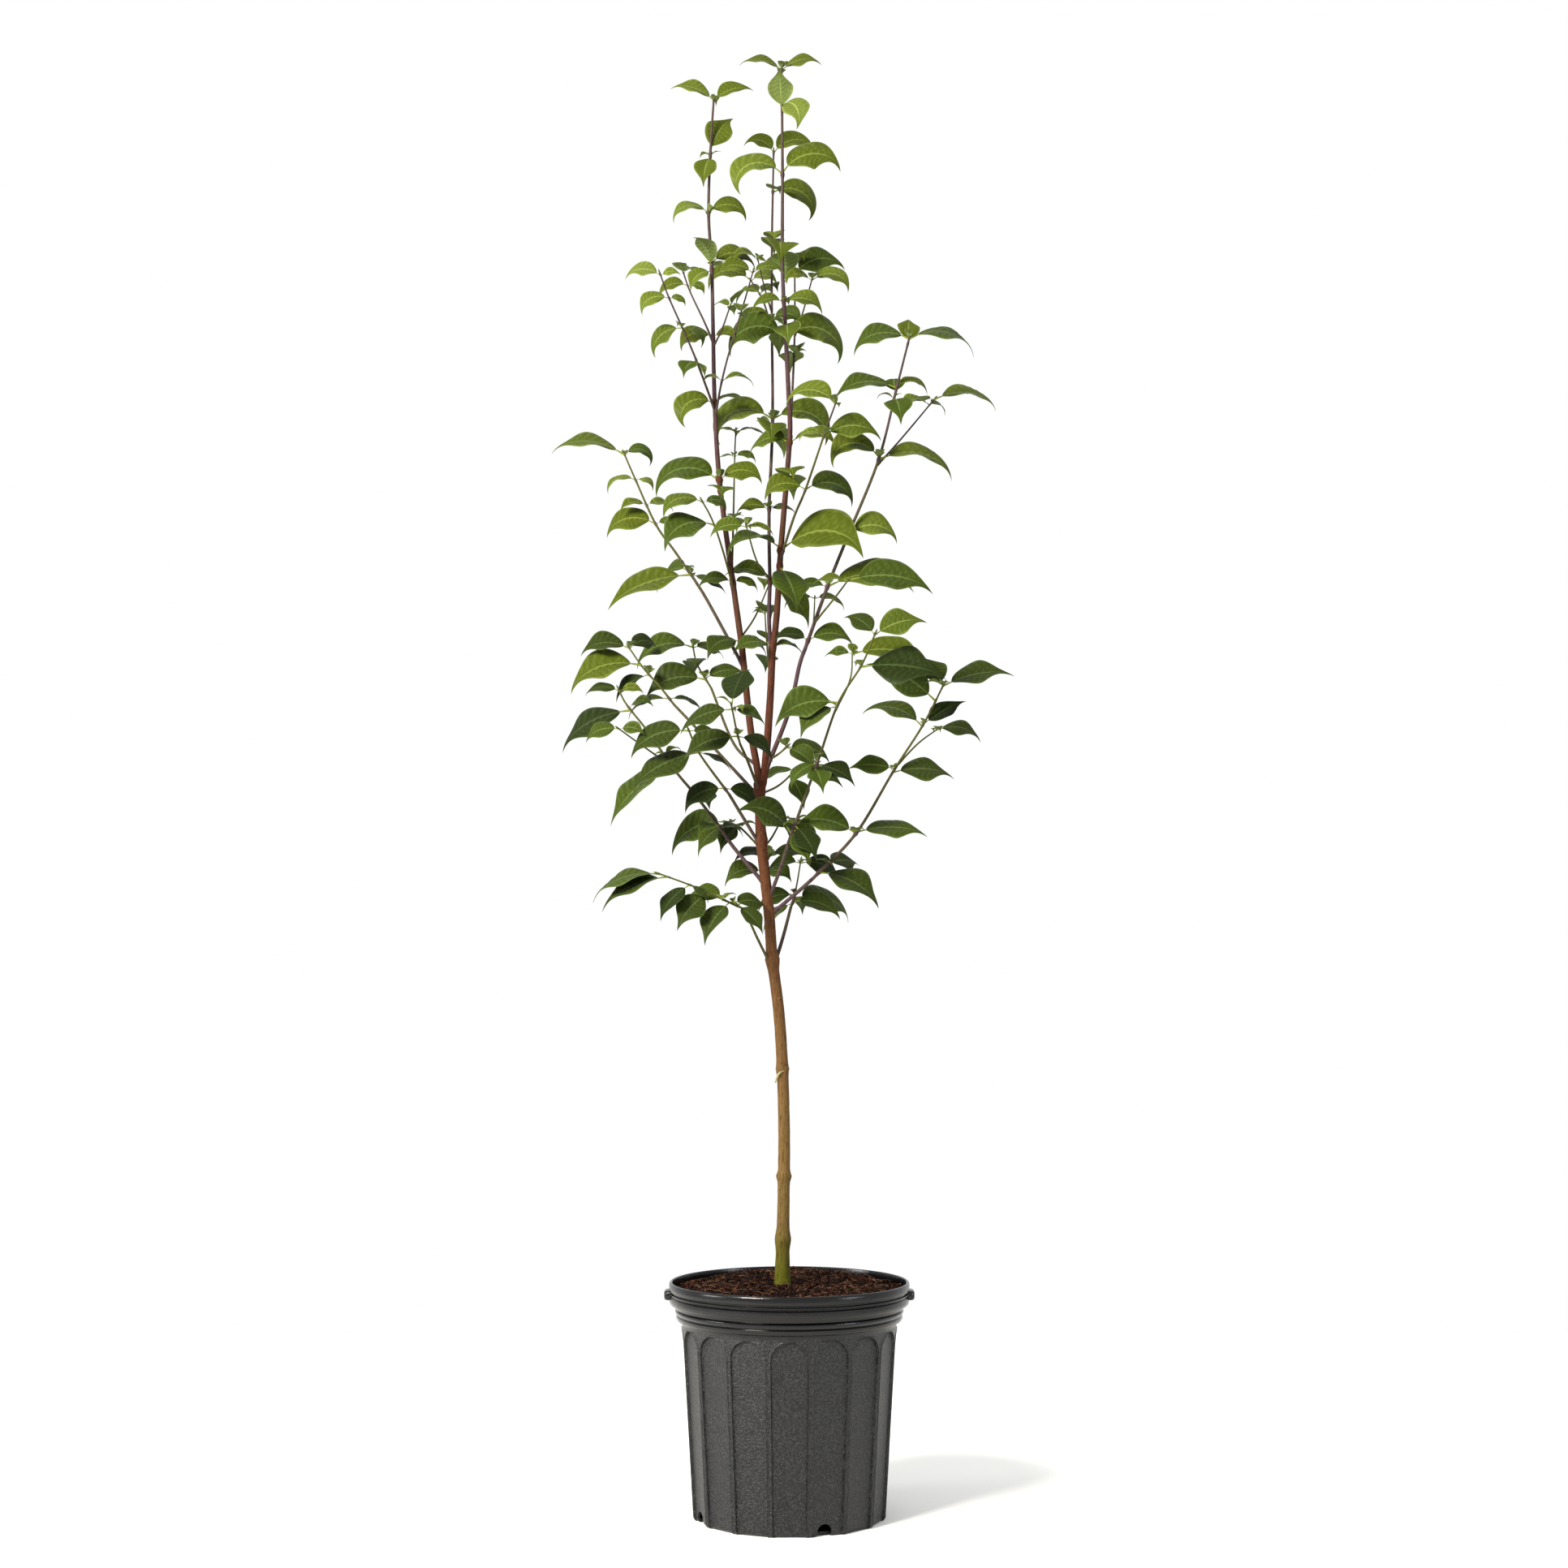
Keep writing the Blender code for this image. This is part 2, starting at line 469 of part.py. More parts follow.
def leaf_course(leaf):
    """The leaf's middle line, in even steps from its root in the stem to its tip."""
    line = [leaf.base.copy()]
    for step in range(LEAF_STEPS):
        heading, _, _ = leaf_frame(leaf, (step + 0.5) / LEAF_STEPS)
        line.append(line[-1] + heading * leaf.length / LEAF_STEPS)
    return line


def leaf_sections(leaf, first=0, margin=0.0):
    """The four-point sections of a leaf from its root, or from its blade's start, and its tip."""
    line = leaf_course(leaf)
    sections = []
    for step in (0, 3, 9, 16)[first:]:
        share = step / LEAF_STEPS
        _, side, top = leaf_frame(leaf, max(share, PETIOLE))
        in_blade = max(0.0, (share - PETIOLE) / (1 - PETIOLE))
        half = max(PETIOLE_THICKNESS, HALF_WIDTH * leaf.length * blade_width(in_blade)) + margin
        thick = LEAF_THICKNESS / 2 + margin
        if step == 0:
            half, thick = half * ROOT_SHRINK, thick * ROOT_SHRINK
        out, up = math.cos(math.radians(leaf.fold)), math.sin(math.radians(leaf.fold))
        point = line[step]
        sections.append([point + side * half * out + top * half * up, point - top * thick,
                         point - side * half * out + top * half * up, point + top * thick])
    sections.append([line[-1]])
    return sections


def tree_of(sections):
    """A search tree over the faces of a lofted shape."""
    points, faces = lofted(sections)
    return BVHTree.FromPolygons(points, faces), box_of(points)


def box_of(points):
    low = Vector(min(p[i] for p in points) for i in range(3))
    return low, Vector(max(p[i] for p in points) for i in range(3))


def apart(box, other):
    return any(box[1][i] < other[0][i] or other[1][i] < box[0][i] for i in range(3))


class Crown:
    """What already stands in the crown, so that each new leaf keeps clear of it."""

    MARGIN = 0.9

    def __init__(self, paths):
        owners = {shoot.name: mass for mass, shoots in MASSES.items() for shoot in shoots}
        self.taken = []
        for name, path in paths.items():
            tree, box = tree_of(stem_sections(path, 6, self.MARGIN))
            self.taken.append((owners.get(name, name), name, tree, box))

    def is_clear(self, leaf, mass, stem):
        """Whether the blade misses its own mass and the whole leaf misses everything else."""
        blade, blade_box = tree_of(leaf_sections(leaf, 1, self.MARGIN))
        whole, whole_box = tree_of(leaf_sections(leaf, 0, self.MARGIN))
        for owner, name, other, other_box in self.taken:
            if name == stem:
                continue
            tree, box = (blade, blade_box) if owner == mass else (whole, whole_box)
            if not apart(box, other_box) and tree.overlap(other):
                return False
        return True

    def settle(self, leaf, mass, stem):
        """Turns a leaf until it is clear and keeps it, or gives None where nothing is."""
        for attempt, turn in enumerate(TRY_TURNS):
            tried = replace(leaf, turn=leaf.turn + turn, length=leaf.length * (1 - 0.02 * attempt))
            if self.is_clear(tried, mass, stem):
                self.taken.append((mass, "", *tree_of(leaf_sections(tried))))
                return tried
        return None


def crown_habit(height):
    """The lift and droop of leaves at a height: both greater towards the top of the crown."""
    share = (height - CROWN_LOW[0]) / (CROWN_HIGH[0] - CROWN_LOW[0])
    return [low + (high - low) * share for low, high in zip(CROWN_LOW[1:], CROWN_HIGH[1:])]


def leaves_of(mass, shoot, path, crown):
    """The shoot's leaves: its pairs, each varied by a seeded draw and settled in the crown."""
    for number, pair in enumerate(shoot.pairs):
        lift, droop = crown_habit(pair.height)
        for side, length in enumerate((pair.first, pair.second)):
            if length < SMALLEST_LEAF:
                continue
            draw = random.Random(f"{shoot.name} {number} {side}")
            leaf = Leaf(
                base=path.point(min(path.share_at(pair.height), 1 - ROOT_SINK / path.length)),
                turn=pair.turn + 180 * side + draw.uniform(-6, 6),
                lift=(pair.lift or lift) + draw.uniform(-5, 5),
                droop=(pair.droop or droop) + draw.uniform(-10, 10),
                sweep=draw.uniform(-12, 12),
                roll=pair.bank * math.cos(math.radians(pair.turn + 180 * side)) + draw.uniform(-12, 12),
                fold=draw.uniform(8, 26),
                length=length * draw.uniform(0.95, 1.05),
            )
            leaf = crown.settle(leaf, mass, shoot.name)
            if leaf:
                yield leaf


# Shapes

def lofted(sections):
    """Points and faces of a closed skin over sections; the last may be a single point."""
    points = [p for section in sections for p in section]
    count = len(sections[0])
    faces = [tuple(range(count))[::-1]]
    for ring in range(len(sections) - 1):
        low, high = ring * count, (ring + 1) * count
        for i in range(count):
            j = (i + 1) % count
            if len(sections[ring + 1]) == 1:
                faces.append((low + i, low + j, high))
            else:
                faces.append((low + i, low + j, high + j, high + i))
    if len(sections[-1]) > 1:
        start = (len(sections) - 1) * count
        faces.append(tuple(range(start, start + count)))
    return points, faces


def stem_sections(path, sides, extra=0.0):
    """Round sections along a path, all square to it."""
    side = path.tangent(0).orthogonal().normalized()
    sections = []
    for share in path.stations():
        along = path.tangent(share)
        side = (side - along * side.dot(along)).normalized()
        across = along.cross(side)
        radius = path.radius(share) * (1.25 if sides == 3 else 1.0) + extra
        sections.append([
            path.point(share) + (side * math.cos(a) + across * math.sin(a)) * radius
            for a in (2 * math.pi * i / sides for i in range(sides))
        ])
    return sections


def volume_of(faces):
    """The volume inside some faces, below zero where they face inwards."""
    total = 0.0
    for face in faces:
        corners = [loop.vert.co for loop in face.loops]
        for one, two in zip(corners[1:], corners[2:]):
            total += corners[0].dot(one.cross(two)) / 6
    return total


def skin(name, sections):
    """A closed object lofted over sections that are in millimetres."""
    points, faces = lofted(sections)
    mesh = bpy.data.meshes.new(name)
    mesh.from_pydata([p * MM for p in points], [], faces)
    work = bmesh.new()
    work.from_mesh(mesh)
    bmesh.ops.connect_verts_nonplanar(work, angle_limit=0.001, faces=work.faces)
    if volume_of(work.faces) < 0:
        bmesh.ops.reverse_faces(work, faces=work.faces)
    work.to_mesh(mesh)
    work.free()
    return bpy.data.objects.new(name, mesh)


def islands(work):
    """The faces of each separate shell of a mesh."""
    left = set(work.faces)
    while left:
        shell, edge_of = set(), [left.pop()]
        while edge_of:
            face = edge_of.pop()
            shell.add(face)
            for near in (f for e in face.edges for f in e.link_faces if f in left):
                left.discard(near)
                edge_of.append(near)
        yield shell


def keep_main_body(mesh):
    """Fills hollows that a union sealed and drops loose scrap: only the outer shell stays."""
    work = bmesh.new()
    work.from_mesh(mesh)
    shells = sorted(islands(work), key=volume_of)
    spare = [face for shell in shells[:-1] for face in shell]
    bmesh.ops.delete(work, geom=spare, context="FACES")
    work.to_mesh(mesh)
    work.free()


def as_mesh(thing, weld=True):
    """The object as its modifiers leave it, with caps welded; the source object is removed."""
    bpy.context.view_layer.update()
    seen = thing.evaluated_get(bpy.context.evaluated_depsgraph_get())
    mesh = bpy.data.meshes.new_from_object(seen)
    if weld:
        work = bmesh.new()
        work.from_mesh(mesh)
        bmesh.ops.remove_doubles(work, verts=work.verts, dist=1e-6)
        bmesh.ops.recalc_face_normals(work, faces=work.faces)
        work.to_mesh(mesh)
        work.free()
    made = bpy.data.objects.new(thing.name, mesh)
    made.matrix_world = thing.matrix_world
    name = thing.name
    bpy.data.objects.remove(thing)
    made.name = name
    return made


def tube(name, path, extra=0.0):
    """A tapering limb along a path, as a mesh; extra widens it and lengthens both its ends."""
    curve = bpy.data.curves.new(name, "CURVE")
    curve.dimensions = "3D"
    curve.bevel_depth = 1.0
    curve.bevel_resolution = 3 if path.nodes else 2
    curve.use_fill_caps = True
    shares = path.skin_shares()
    line = [path.point(share) for share in shares]
    line[0] -= (line[1] - line[0]).normalized() * extra
    line[-1] += path.tip_heading() * extra
    spline = curve.splines.new("POLY")
    spline.points.add(len(line) - 1)
    for point, place, share in zip(spline.points, line, shares):
        point.co = (*(place * MM), 1.0)
        point.radius = (path.radius(share) + extra) * MM
    thing = bpy.data.objects.new(name, curve)
    bpy.context.scene.collection.objects.link(thing)
    return as_mesh(thing)


def turned(name, profile, steps):
    """A body of revolution from a profile that runs down its outer side."""
    mesh = bpy.data.meshes.new(name)
    edges = [(i, i + 1) for i in range(len(profile) - 1)]
    mesh.from_pydata([(r * MM, 0.0, z * MM) for r, z in profile], edges, [])
    thing = bpy.data.objects.new(name, mesh)
    bpy.context.scene.collection.objects.link(thing)
    screw = thing.modifiers.new("Screw", "SCREW")
    screw.steps = screw.render_steps = steps
    screw.use_merge_vertices = True
    screw.merge_threshold = 0.00001
    return as_mesh(thing)


def arch(name, widths, spring, low, half_depth):
    """A flat arch outline, narrower at its foot, thickened both ways: a cutter."""
    arc_steps = 6
    top, foot = widths
    outline = [(-foot, low)]
    for step in range(arc_steps + 1):
        angle = math.pi * (1 - step / arc_steps)
        outline.append((top * math.cos(angle), spring + top * math.sin(angle)))
    outline.append((foot, low))
    curve = bpy.data.curves.new(name, "CURVE")
    curve.dimensions = "2D"
    curve.fill_mode = "BOTH"
    curve.extrude = half_depth * MM
    spline = curve.splines.new("POLY")
    spline.points.add(len(outline) - 1)
    spline.use_cyclic_u = True
    for point, (x, y) in zip(spline.points, outline):
        point.co = (x * MM, y * MM, 0.0, 1.0)
    thing = bpy.data.objects.new(name, curve)
    bpy.context.scene.collection.objects.link(thing)
    return as_mesh(thing)


def combine(thing, others, operation):
    """Joins a collection of objects to a thing, or cuts them from it, and removes them."""
    tools = bpy.data.collections.new(f"{thing.name} {operation.lower()}")
    bpy.context.scene.collection.children.link(tools)
    for other in others:
        if other.name in bpy.context.scene.collection.objects:
            bpy.context.scene.collection.objects.unlink(other)
        tools.objects.link(other)
        other.hide_render = True
        other.display_type = "WIRE"
    if not thing.users_collection:
        bpy.context.scene.collection.objects.link(thing)
    boolean = thing.modifiers.new(operation.title(), "BOOLEAN")
    boolean.operation = operation
    boolean.operand_type = "COLLECTION"
    boolean.collection = tools
    boolean.solver = "EXACT"
    made = as_mesh(thing, weld=False)
    keep_main_body(made.data)
    for other in list(tools.objects):
        bpy.data.objects.remove(other)
    bpy.data.collections.remove(tools)
    return made


def material(name, colour, roughness):
    """A plain surface material."""
    made = bpy.data.materials.new(name)
    made.use_nodes = True
    shader = made.node_tree.nodes["Principled BSDF"]
    shader.inputs["Base Color"].default_value = (*colour, 1.0)
    shader.inputs["Roughness"].default_value = roughness
    shader.inputs["Metallic"].default_value = 0.0
    return made


# Sub-parts

def body_radius(height):
    """The pot's outer radius between its foot and its neck."""
    (top_r, top_z), (foot_r, foot_z) = BODY_TOP, BODY_FOOT
    return foot_r + (top_r - foot_r) * (height - foot_z) / (top_z - foot_z)


def make_pot():
    """The nursery pot: a stepped rim, a tapering body with arched flutes, lugs and drain holes."""
    profile = [
        (0, WALL), (body_radius(WALL) - WALL, WALL), (BODY_TOP[0] - WALL, BODY_TOP[1]),
        (129.0, 230.0), (129.4, 244.0), (135.4, 248.5), (LIP_RADIUS - WALL, POT_HEIGHT),
        (137.6, POT_HEIGHT), (LIP_RADIUS, 267.5), (LIP_RADIUS, 261.0), (138.0, 259.0),
        (139.6, 257.0), (139.2, 245.5), (133.6, 243.6), (133.0, 228.0),
        BODY_TOP, BODY_FOOT, (BODY_FOOT[0] - 2.0, 0.0), (0, 0),
    ]
    pot = turned("pot", profile, POT_STEPS)
    pot = combine(pot, [make_lug(side) for side in (0, 1)], "UNION")
    cutters = [make_flute(i) for i in range(FLUTES)] + [make_drain(i) for i in range(HOLES)]
    return combine(pot, cutters, "DIFFERENCE")


def make_lug(side):
    """A rounded grip on the rim, at the pot's left or right."""
    bpy.ops.mesh.primitive_cube_add(size=1)
    lug = bpy.context.object
    lug.name = f"lug_{side}"
    lug.data.transform(Matrix.Diagonal((*(s * MM for s in LUG_SIZE), 1.0)))
    bevel = lug.modifiers.new("Bevel", "BEVEL")
    bevel.width = 3.5 * MM
    bevel.segments = 2
    out = (LIP_RADIUS + 2.0) * MM * (1 if side else -1)
    lug.location = (out, 0.0, LUG_HEIGHT * MM)
    return as_mesh(lug)


def stand_out(thing, azimuth, radius, tilt):
    """Stands a flat cutter up across the pot's wall, at an azimuth and a radius."""
    thing.matrix_world = (
        Matrix.Rotation(math.radians(azimuth), 4, "Z") @ Matrix.Translation((radius * MM, 0, 0))
        @ Matrix.Rotation(tilt, 4, "Y") @ Matrix.Rotation(math.pi / 2, 4, "Z")
        @ Matrix.Rotation(math.pi / 2, 4, "X")
    )
    return thing


def make_flute(number):
    """One flat-bottomed flute, as a cutter that leans with the wall."""
    half_depth = 6.0
    lean = math.atan((BODY_TOP[0] - BODY_FOOT[0]) / (BODY_TOP[1] - BODY_FOOT[1]))
    flute = arch(f"flute_{number}", FLUTE_HALF_WIDTHS, FLUTE_SPRING, -4.0, half_depth)
    azimuth = -90 + 360 / FLUTES * number
    return stand_out(flute, azimuth, body_radius(0) - FLUTE_DEPTH + half_depth, lean)


def make_drain(number):
    """One drain hole through the foot of the wall, as a cutter."""
    half_depth = 11.0
    hole = arch(f"drain_{number}", (HOLE_HALF_WIDTH, HOLE_HALF_WIDTH), HOLE_SPRING, -2.0, half_depth)
    azimuth = -90 + HOLE_TURN + 360 / HOLES * number
    return stand_out(hole, azimuth, body_radius(0) - WALL - 3.0 + half_depth, 0.0)


def mix_rise(x, y):
    """How far the bark mix stands above or below its level at a place, in millimetres."""
    mound = 6.5 * math.exp(-((x / 75) ** 2 + ((y - 88) / 46) ** 2))
    return mound + 1.1 * math.sin(x / 17 + 1) * math.cos(y / 21) + 0.7 * math.sin((x - y) / 9)


def make_mix():
    """The bark mix that fills the pot, clear of its wall, with an uneven top."""
    low = WALL + CLEAR
    profile = [
        (0, MIX_TOP), (MIX_FLAT, MIX_TOP), (50, MIX_TOP), (85, MIX_TOP - 1), (112, MIX_TOP - 2.5),
        (135.4 - CLEAR, MIX_EDGE), (135.2 - CLEAR, 249), (129.2 - CLEAR, 244.2), (128.8 - CLEAR, 230),
        (BODY_TOP[0] - WALL - CLEAR, BODY_TOP[1]), (body_radius(low) - WALL - CLEAR, low), (0, low),
    ]
    mix = turned("bark_mix", profile, POT_STEPS // 2)
    for vertex in mix.data.vertices:
        x, y, z = vertex.co / MM
        reach = math.hypot(x, y)
        if z > MIX_EDGE + 0.5 and reach > MIX_FLAT + 1:
            vertex.co.z += mix_rise(x, y) * MM
    return mix


def make_bough(shoot, paths, neighbours):
    """One bough, cut clear of what it grows from and of a neighbour at the same fork."""
    bough = tube(shoot.name, paths[shoot.name])
    collars = [tube(f"{name}_collar", paths[name], CLEAR) for name in neighbours]
    return combine(bough, collars, "DIFFERENCE")


def make_mass(name, shoots, paths, crown):
    """One mass of foliage: its shoots and their leaves fused, cut clear of the limb it is on."""
    pieces = []
    for shoot in shoots:
        pieces.append(skin(shoot.name, stem_sections(paths[shoot.name], 3)))
        for number, leaf in enumerate(leaves_of(name, shoot, paths[shoot.name], crown)):
            pieces.append(skin(f"{shoot.name}_leaf_{number}", leaf_sections(leaf)))
    stem = pieces.pop(0)
    stem.name = name
    mass = combine(stem, pieces, "UNION")
    if shoots[0].root:
        collar = tube(f"{name}_collar", paths[shoots[0].parent], CLEAR)
        mass = combine(mass, [collar], "DIFFERENCE")
    mass.name = name
    return mass


def finish(thing, surface, collection):
    """Gives a part its material and smooth shading and puts it in the model's collection."""
    thing.data.materials.clear()
    thing.data.materials.append(surface)
    thing.data.shade_smooth()
    thing.data.set_sharp_from_angle(angle=math.radians(35))
    for holder in list(thing.users_collection):
        holder.objects.unlink(thing)
    collection.objects.link(thing)


def main():
    """Clears the scene and builds the pot, its bark mix, the trunk, boughs and foliage."""
    for old in list(bpy.data.objects):
        bpy.data.objects.remove(old)
    collection = bpy.data.collections.new(COLLECTION)
    bpy.context.scene.collection.children.link(collection)
    plastic = material("black_plastic", (0.045, 0.045, 0.047), 0.42)
    bark_mix = material("bark_mix", (0.09, 0.045, 0.03), 0.95)
    bark = material("bark", (0.26, 0.16, 0.08), 0.8)
    foliage = material("foliage", (0.13, 0.25, 0.05), 0.55)

    finish(make_pot(), plastic, collection)
    finish(make_mix(), bark_mix, collection)
    paths = grow_stems()
    finish(tube("trunk", paths["trunk"]), bark, collection)
    for shoot in BOUGHS:
        neighbours = [shoot.parent]
        if shoot.name == "left_leader":
            neighbours.append("middle_leader")
        if shoot.name == "right_bough":
            neighbours.append("trunk")
        finish(make_bough(shoot, paths, neighbours), bark, collection)
    crown = Crown(paths)
    for name, shoots in MASSES.items():
        finish(make_mass(name, shoots, paths, crown), foliage, collection)


main()
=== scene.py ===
"""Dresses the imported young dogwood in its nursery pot.

Leaves, twigs and bark grow by the same seeded rule as the solids, carried on to small
unfolding leaves, buds and scars. The pot and its bed of bark mix are modelled again in full
detail. Sizes are millimetres and angles are degrees, but for the studio's, which are metres.
"""

import json
import logging
import math
import random
from dataclasses import dataclass, field, replace
from enum import Enum
from typing import Iterator, Sequence, Union

import bmesh
import bpy
from mathutils import Matrix, Vector, noise
from mathutils.bvhtree import BVHTree

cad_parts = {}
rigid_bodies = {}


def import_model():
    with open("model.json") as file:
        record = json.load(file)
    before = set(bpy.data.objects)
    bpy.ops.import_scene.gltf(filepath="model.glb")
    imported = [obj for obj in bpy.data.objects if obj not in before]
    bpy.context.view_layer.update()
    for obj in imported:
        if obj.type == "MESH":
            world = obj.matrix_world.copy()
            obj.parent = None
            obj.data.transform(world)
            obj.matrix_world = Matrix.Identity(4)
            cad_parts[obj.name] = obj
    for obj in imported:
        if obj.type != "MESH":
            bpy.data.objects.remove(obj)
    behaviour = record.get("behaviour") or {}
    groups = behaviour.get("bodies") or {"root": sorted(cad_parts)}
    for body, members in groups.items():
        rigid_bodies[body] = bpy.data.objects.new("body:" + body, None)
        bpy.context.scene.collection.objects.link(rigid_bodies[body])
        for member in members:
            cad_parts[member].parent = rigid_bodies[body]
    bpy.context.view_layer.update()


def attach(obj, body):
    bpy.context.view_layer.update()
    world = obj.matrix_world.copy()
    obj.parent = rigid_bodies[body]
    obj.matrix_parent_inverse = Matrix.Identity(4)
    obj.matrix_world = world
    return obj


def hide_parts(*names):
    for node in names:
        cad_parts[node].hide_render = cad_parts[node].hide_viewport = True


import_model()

MM = 0.001
BODY = "root"
log = logging.getLogger("dogwood")

# The growth rule's sizes, the same as the solids'
CLEAR = 0.3  # gap between two solids that touch in life
TRUNK_FOOT = 266.3  # height of the trunk's flat cut
TRUNK_ROUTE = (
    (-8, 0, TRUNK_FOOT), (-8, 0, 290), (-7, 0, 350), (-6, 0, 435), (-8, 0, 515),
    (-12, 0, 580), (-20, 0, 645), (-24, 0, 700), (-33, 0, 785), (-35, 0, 852),
)
TRUNK_GIRTH = (14.4, 12.2)  # diameters at its foot and at its tip
TRUNK_FLARE = (3.0, 30.0)  # how much wider its foot is, and how fast that dies away
TRUNK_SPACING = 17.0  # between the rings of the solid trunk
BOUGH_SPACING = 28.0  # between the rings of a solid bough
# Height, swelling and width of each ring scar
TRUNK_NODES = ((318, 1.9, 9), (391, 2.0, 5), (516, 0.9, 8), (643, 2.0, 8), (784, 1.3, 8), (850, 1.2, 12))
PETIOLE = 0.125  # a stalk's share of its leaf's length
HALF_WIDTH = 0.29  # half a blade's width, as a share of its leaf's length
BROADEST = 0.82  # puts the broadest place at 0.43 of the blade
FULLNESS = 0.9  # how round the blade's outline is
TIP_LOSS = 0.35  # how much of the width the tip loses
DROOP_CURVE = 1.25  # how late along its length a leaf bends down
LEAF_THICKNESS = 1.5  # of a solid leaf
PETIOLE_THICKNESS = 1.5  # half the width of a solid leaf's stalk
ROOT_SHRINK = 0.7  # how thick a solid leaf still is in its stem
SMALLEST_LEAF = 43.0  # shortest leaf that the solids have
ROOT_SINK = 3.0  # least distance from a leaf's root to its stem's tip
LEAF_STEPS = 24  # steps of a leaf's middle line
SOLID_STEPS = (0, 3, 9, 16)  # those at which a solid leaf has a section
CROWN_LOW = (750, 4, 68)  # a height low in the crown, with its usual lift and droop
CROWN_HIGH = (1700, 58, 130)  # the same high in the crown
TWIG_SPACING = 55.0  # widest spacing between the rings of a solid twig
TRY_TURNS = (0, 12, -12, 24, -24, 38, -38, 55, -55)  # turns that are tried until a leaf is clear
TRY_SHRINK = 0.02  # how much shorter the leaf gets with each try
BOW = 0.05  # sag of a straight shoot's middle, as a share of its length
VARY_TURN, VARY_LIFT, VARY_DROOP, VARY_SWEEP, VARY_ROLL = 6, 5, 10, 12, 12  # each way
FOLDS = (8, 26)  # angles at which a blade's halves rise from its midrib
LENGTH_SHARES = (0.95, 1.05)


@dataclass(frozen=True)
class Pair:
    """Two opposite leaves at one node of a shoot."""

    height: float  # of the node above the floor
    turn: float  # way the first leaf points, degrees from +X towards +Y
    first: float  # its length, or 0 for none
    second: float  # the length of the leaf opposite it, or 0
    lift: float = 0.0  # angle above level at which they leave the stem; 0 takes the crown's
    droop: float = 0.0  # angle through which they bend down to their tips; 0 takes the crown's
    bank: float = 30.0  # how far their upper faces turn to the front, where the light is


@dataclass(frozen=True)
class Shoot:
    """A bough, or one shoot of a spray, that grows from its parent through its route."""

    name: str
    parent: str
    root: float  # height where it leaves the parent, or 0 to carry on from its tip
    route: tuple
    girth: tuple  # diameters at its root and at its tip
    pairs: tuple = ()


BOUGHS = (
    Shoot("middle_leader", "trunk", 844, ((-29, 0, 866), (-23, 0, 943), (-20, 0, 1006)), (9.4, 8.2)),
    Shoot("left_leader", "trunk", 844, ((-38, 0, 870), (-46, 1, 918), (-56, 4, 1013)), (8.6, 7.6)),
    Shoot("twin_leader", "middle_leader", 966,
          ((-22, 10, 1004), (-24, 13, 1050), (-23, 14, 1088)), (5.2, 4.6)),
    Shoot("right_bough", "middle_leader", 862,
          ((-1, -6, 934), (12, -10, 990), (19, -12, 1010)), (5.6, 4.6)),
    Shoot("upper_left_bough", "left_leader", 988, ((-96, 9, 1067), (-113, 13, 1095)), (4.2, 3.4)),
    Shoot("middle_left_bough", "trunk", 834,
          ((-81, 14, 885), (-112, 26, 920), (-138, 36, 948)), (4.2, 3.0)),
    Shoot("back_left_bough", "left_leader", 872, ((-66, 26, 900), (-94, 62, 970)), (3.6, 2.8)),
    Shoot("front_left_bough", "trunk", 840, ((-49, -32, 876), (-57, -56, 893)), (3.6, 2.8)),
    Shoot("green_left_bough", "trunk", 774, ((-59, -16, 818), (-70, -25, 836)), (4.2, 3.6)),
    Shoot("long_left_bough", "trunk", 730, ((-65, 5, 775), (-78, 7, 794)), (4.8, 4.2)),
    Shoot("front_right_bough", "trunk", 712, ((-12, -9, 746), (-1, -22, 780)), (4.4, 4.0)),
    Shoot("long_right_bough", "trunk", 695, ((10, -4, 723), (28, -6, 739)), (4.8, 4.2)),
    Shoot("low_left_bough", "trunk", 630, ((-38, -16, 670), (-52, -35, 702)), (3.4, 2.6)),
    Shoot("low_right_bough", "trunk", 634, ((-8, 28, 668), (2, 62, 706)), (4.6, 3.6)),
    Shoot("back_bough", "middle_leader", 925, ((-20, 60, 962), (-25, 110, 1003)), (3.6, 2.8)),
)

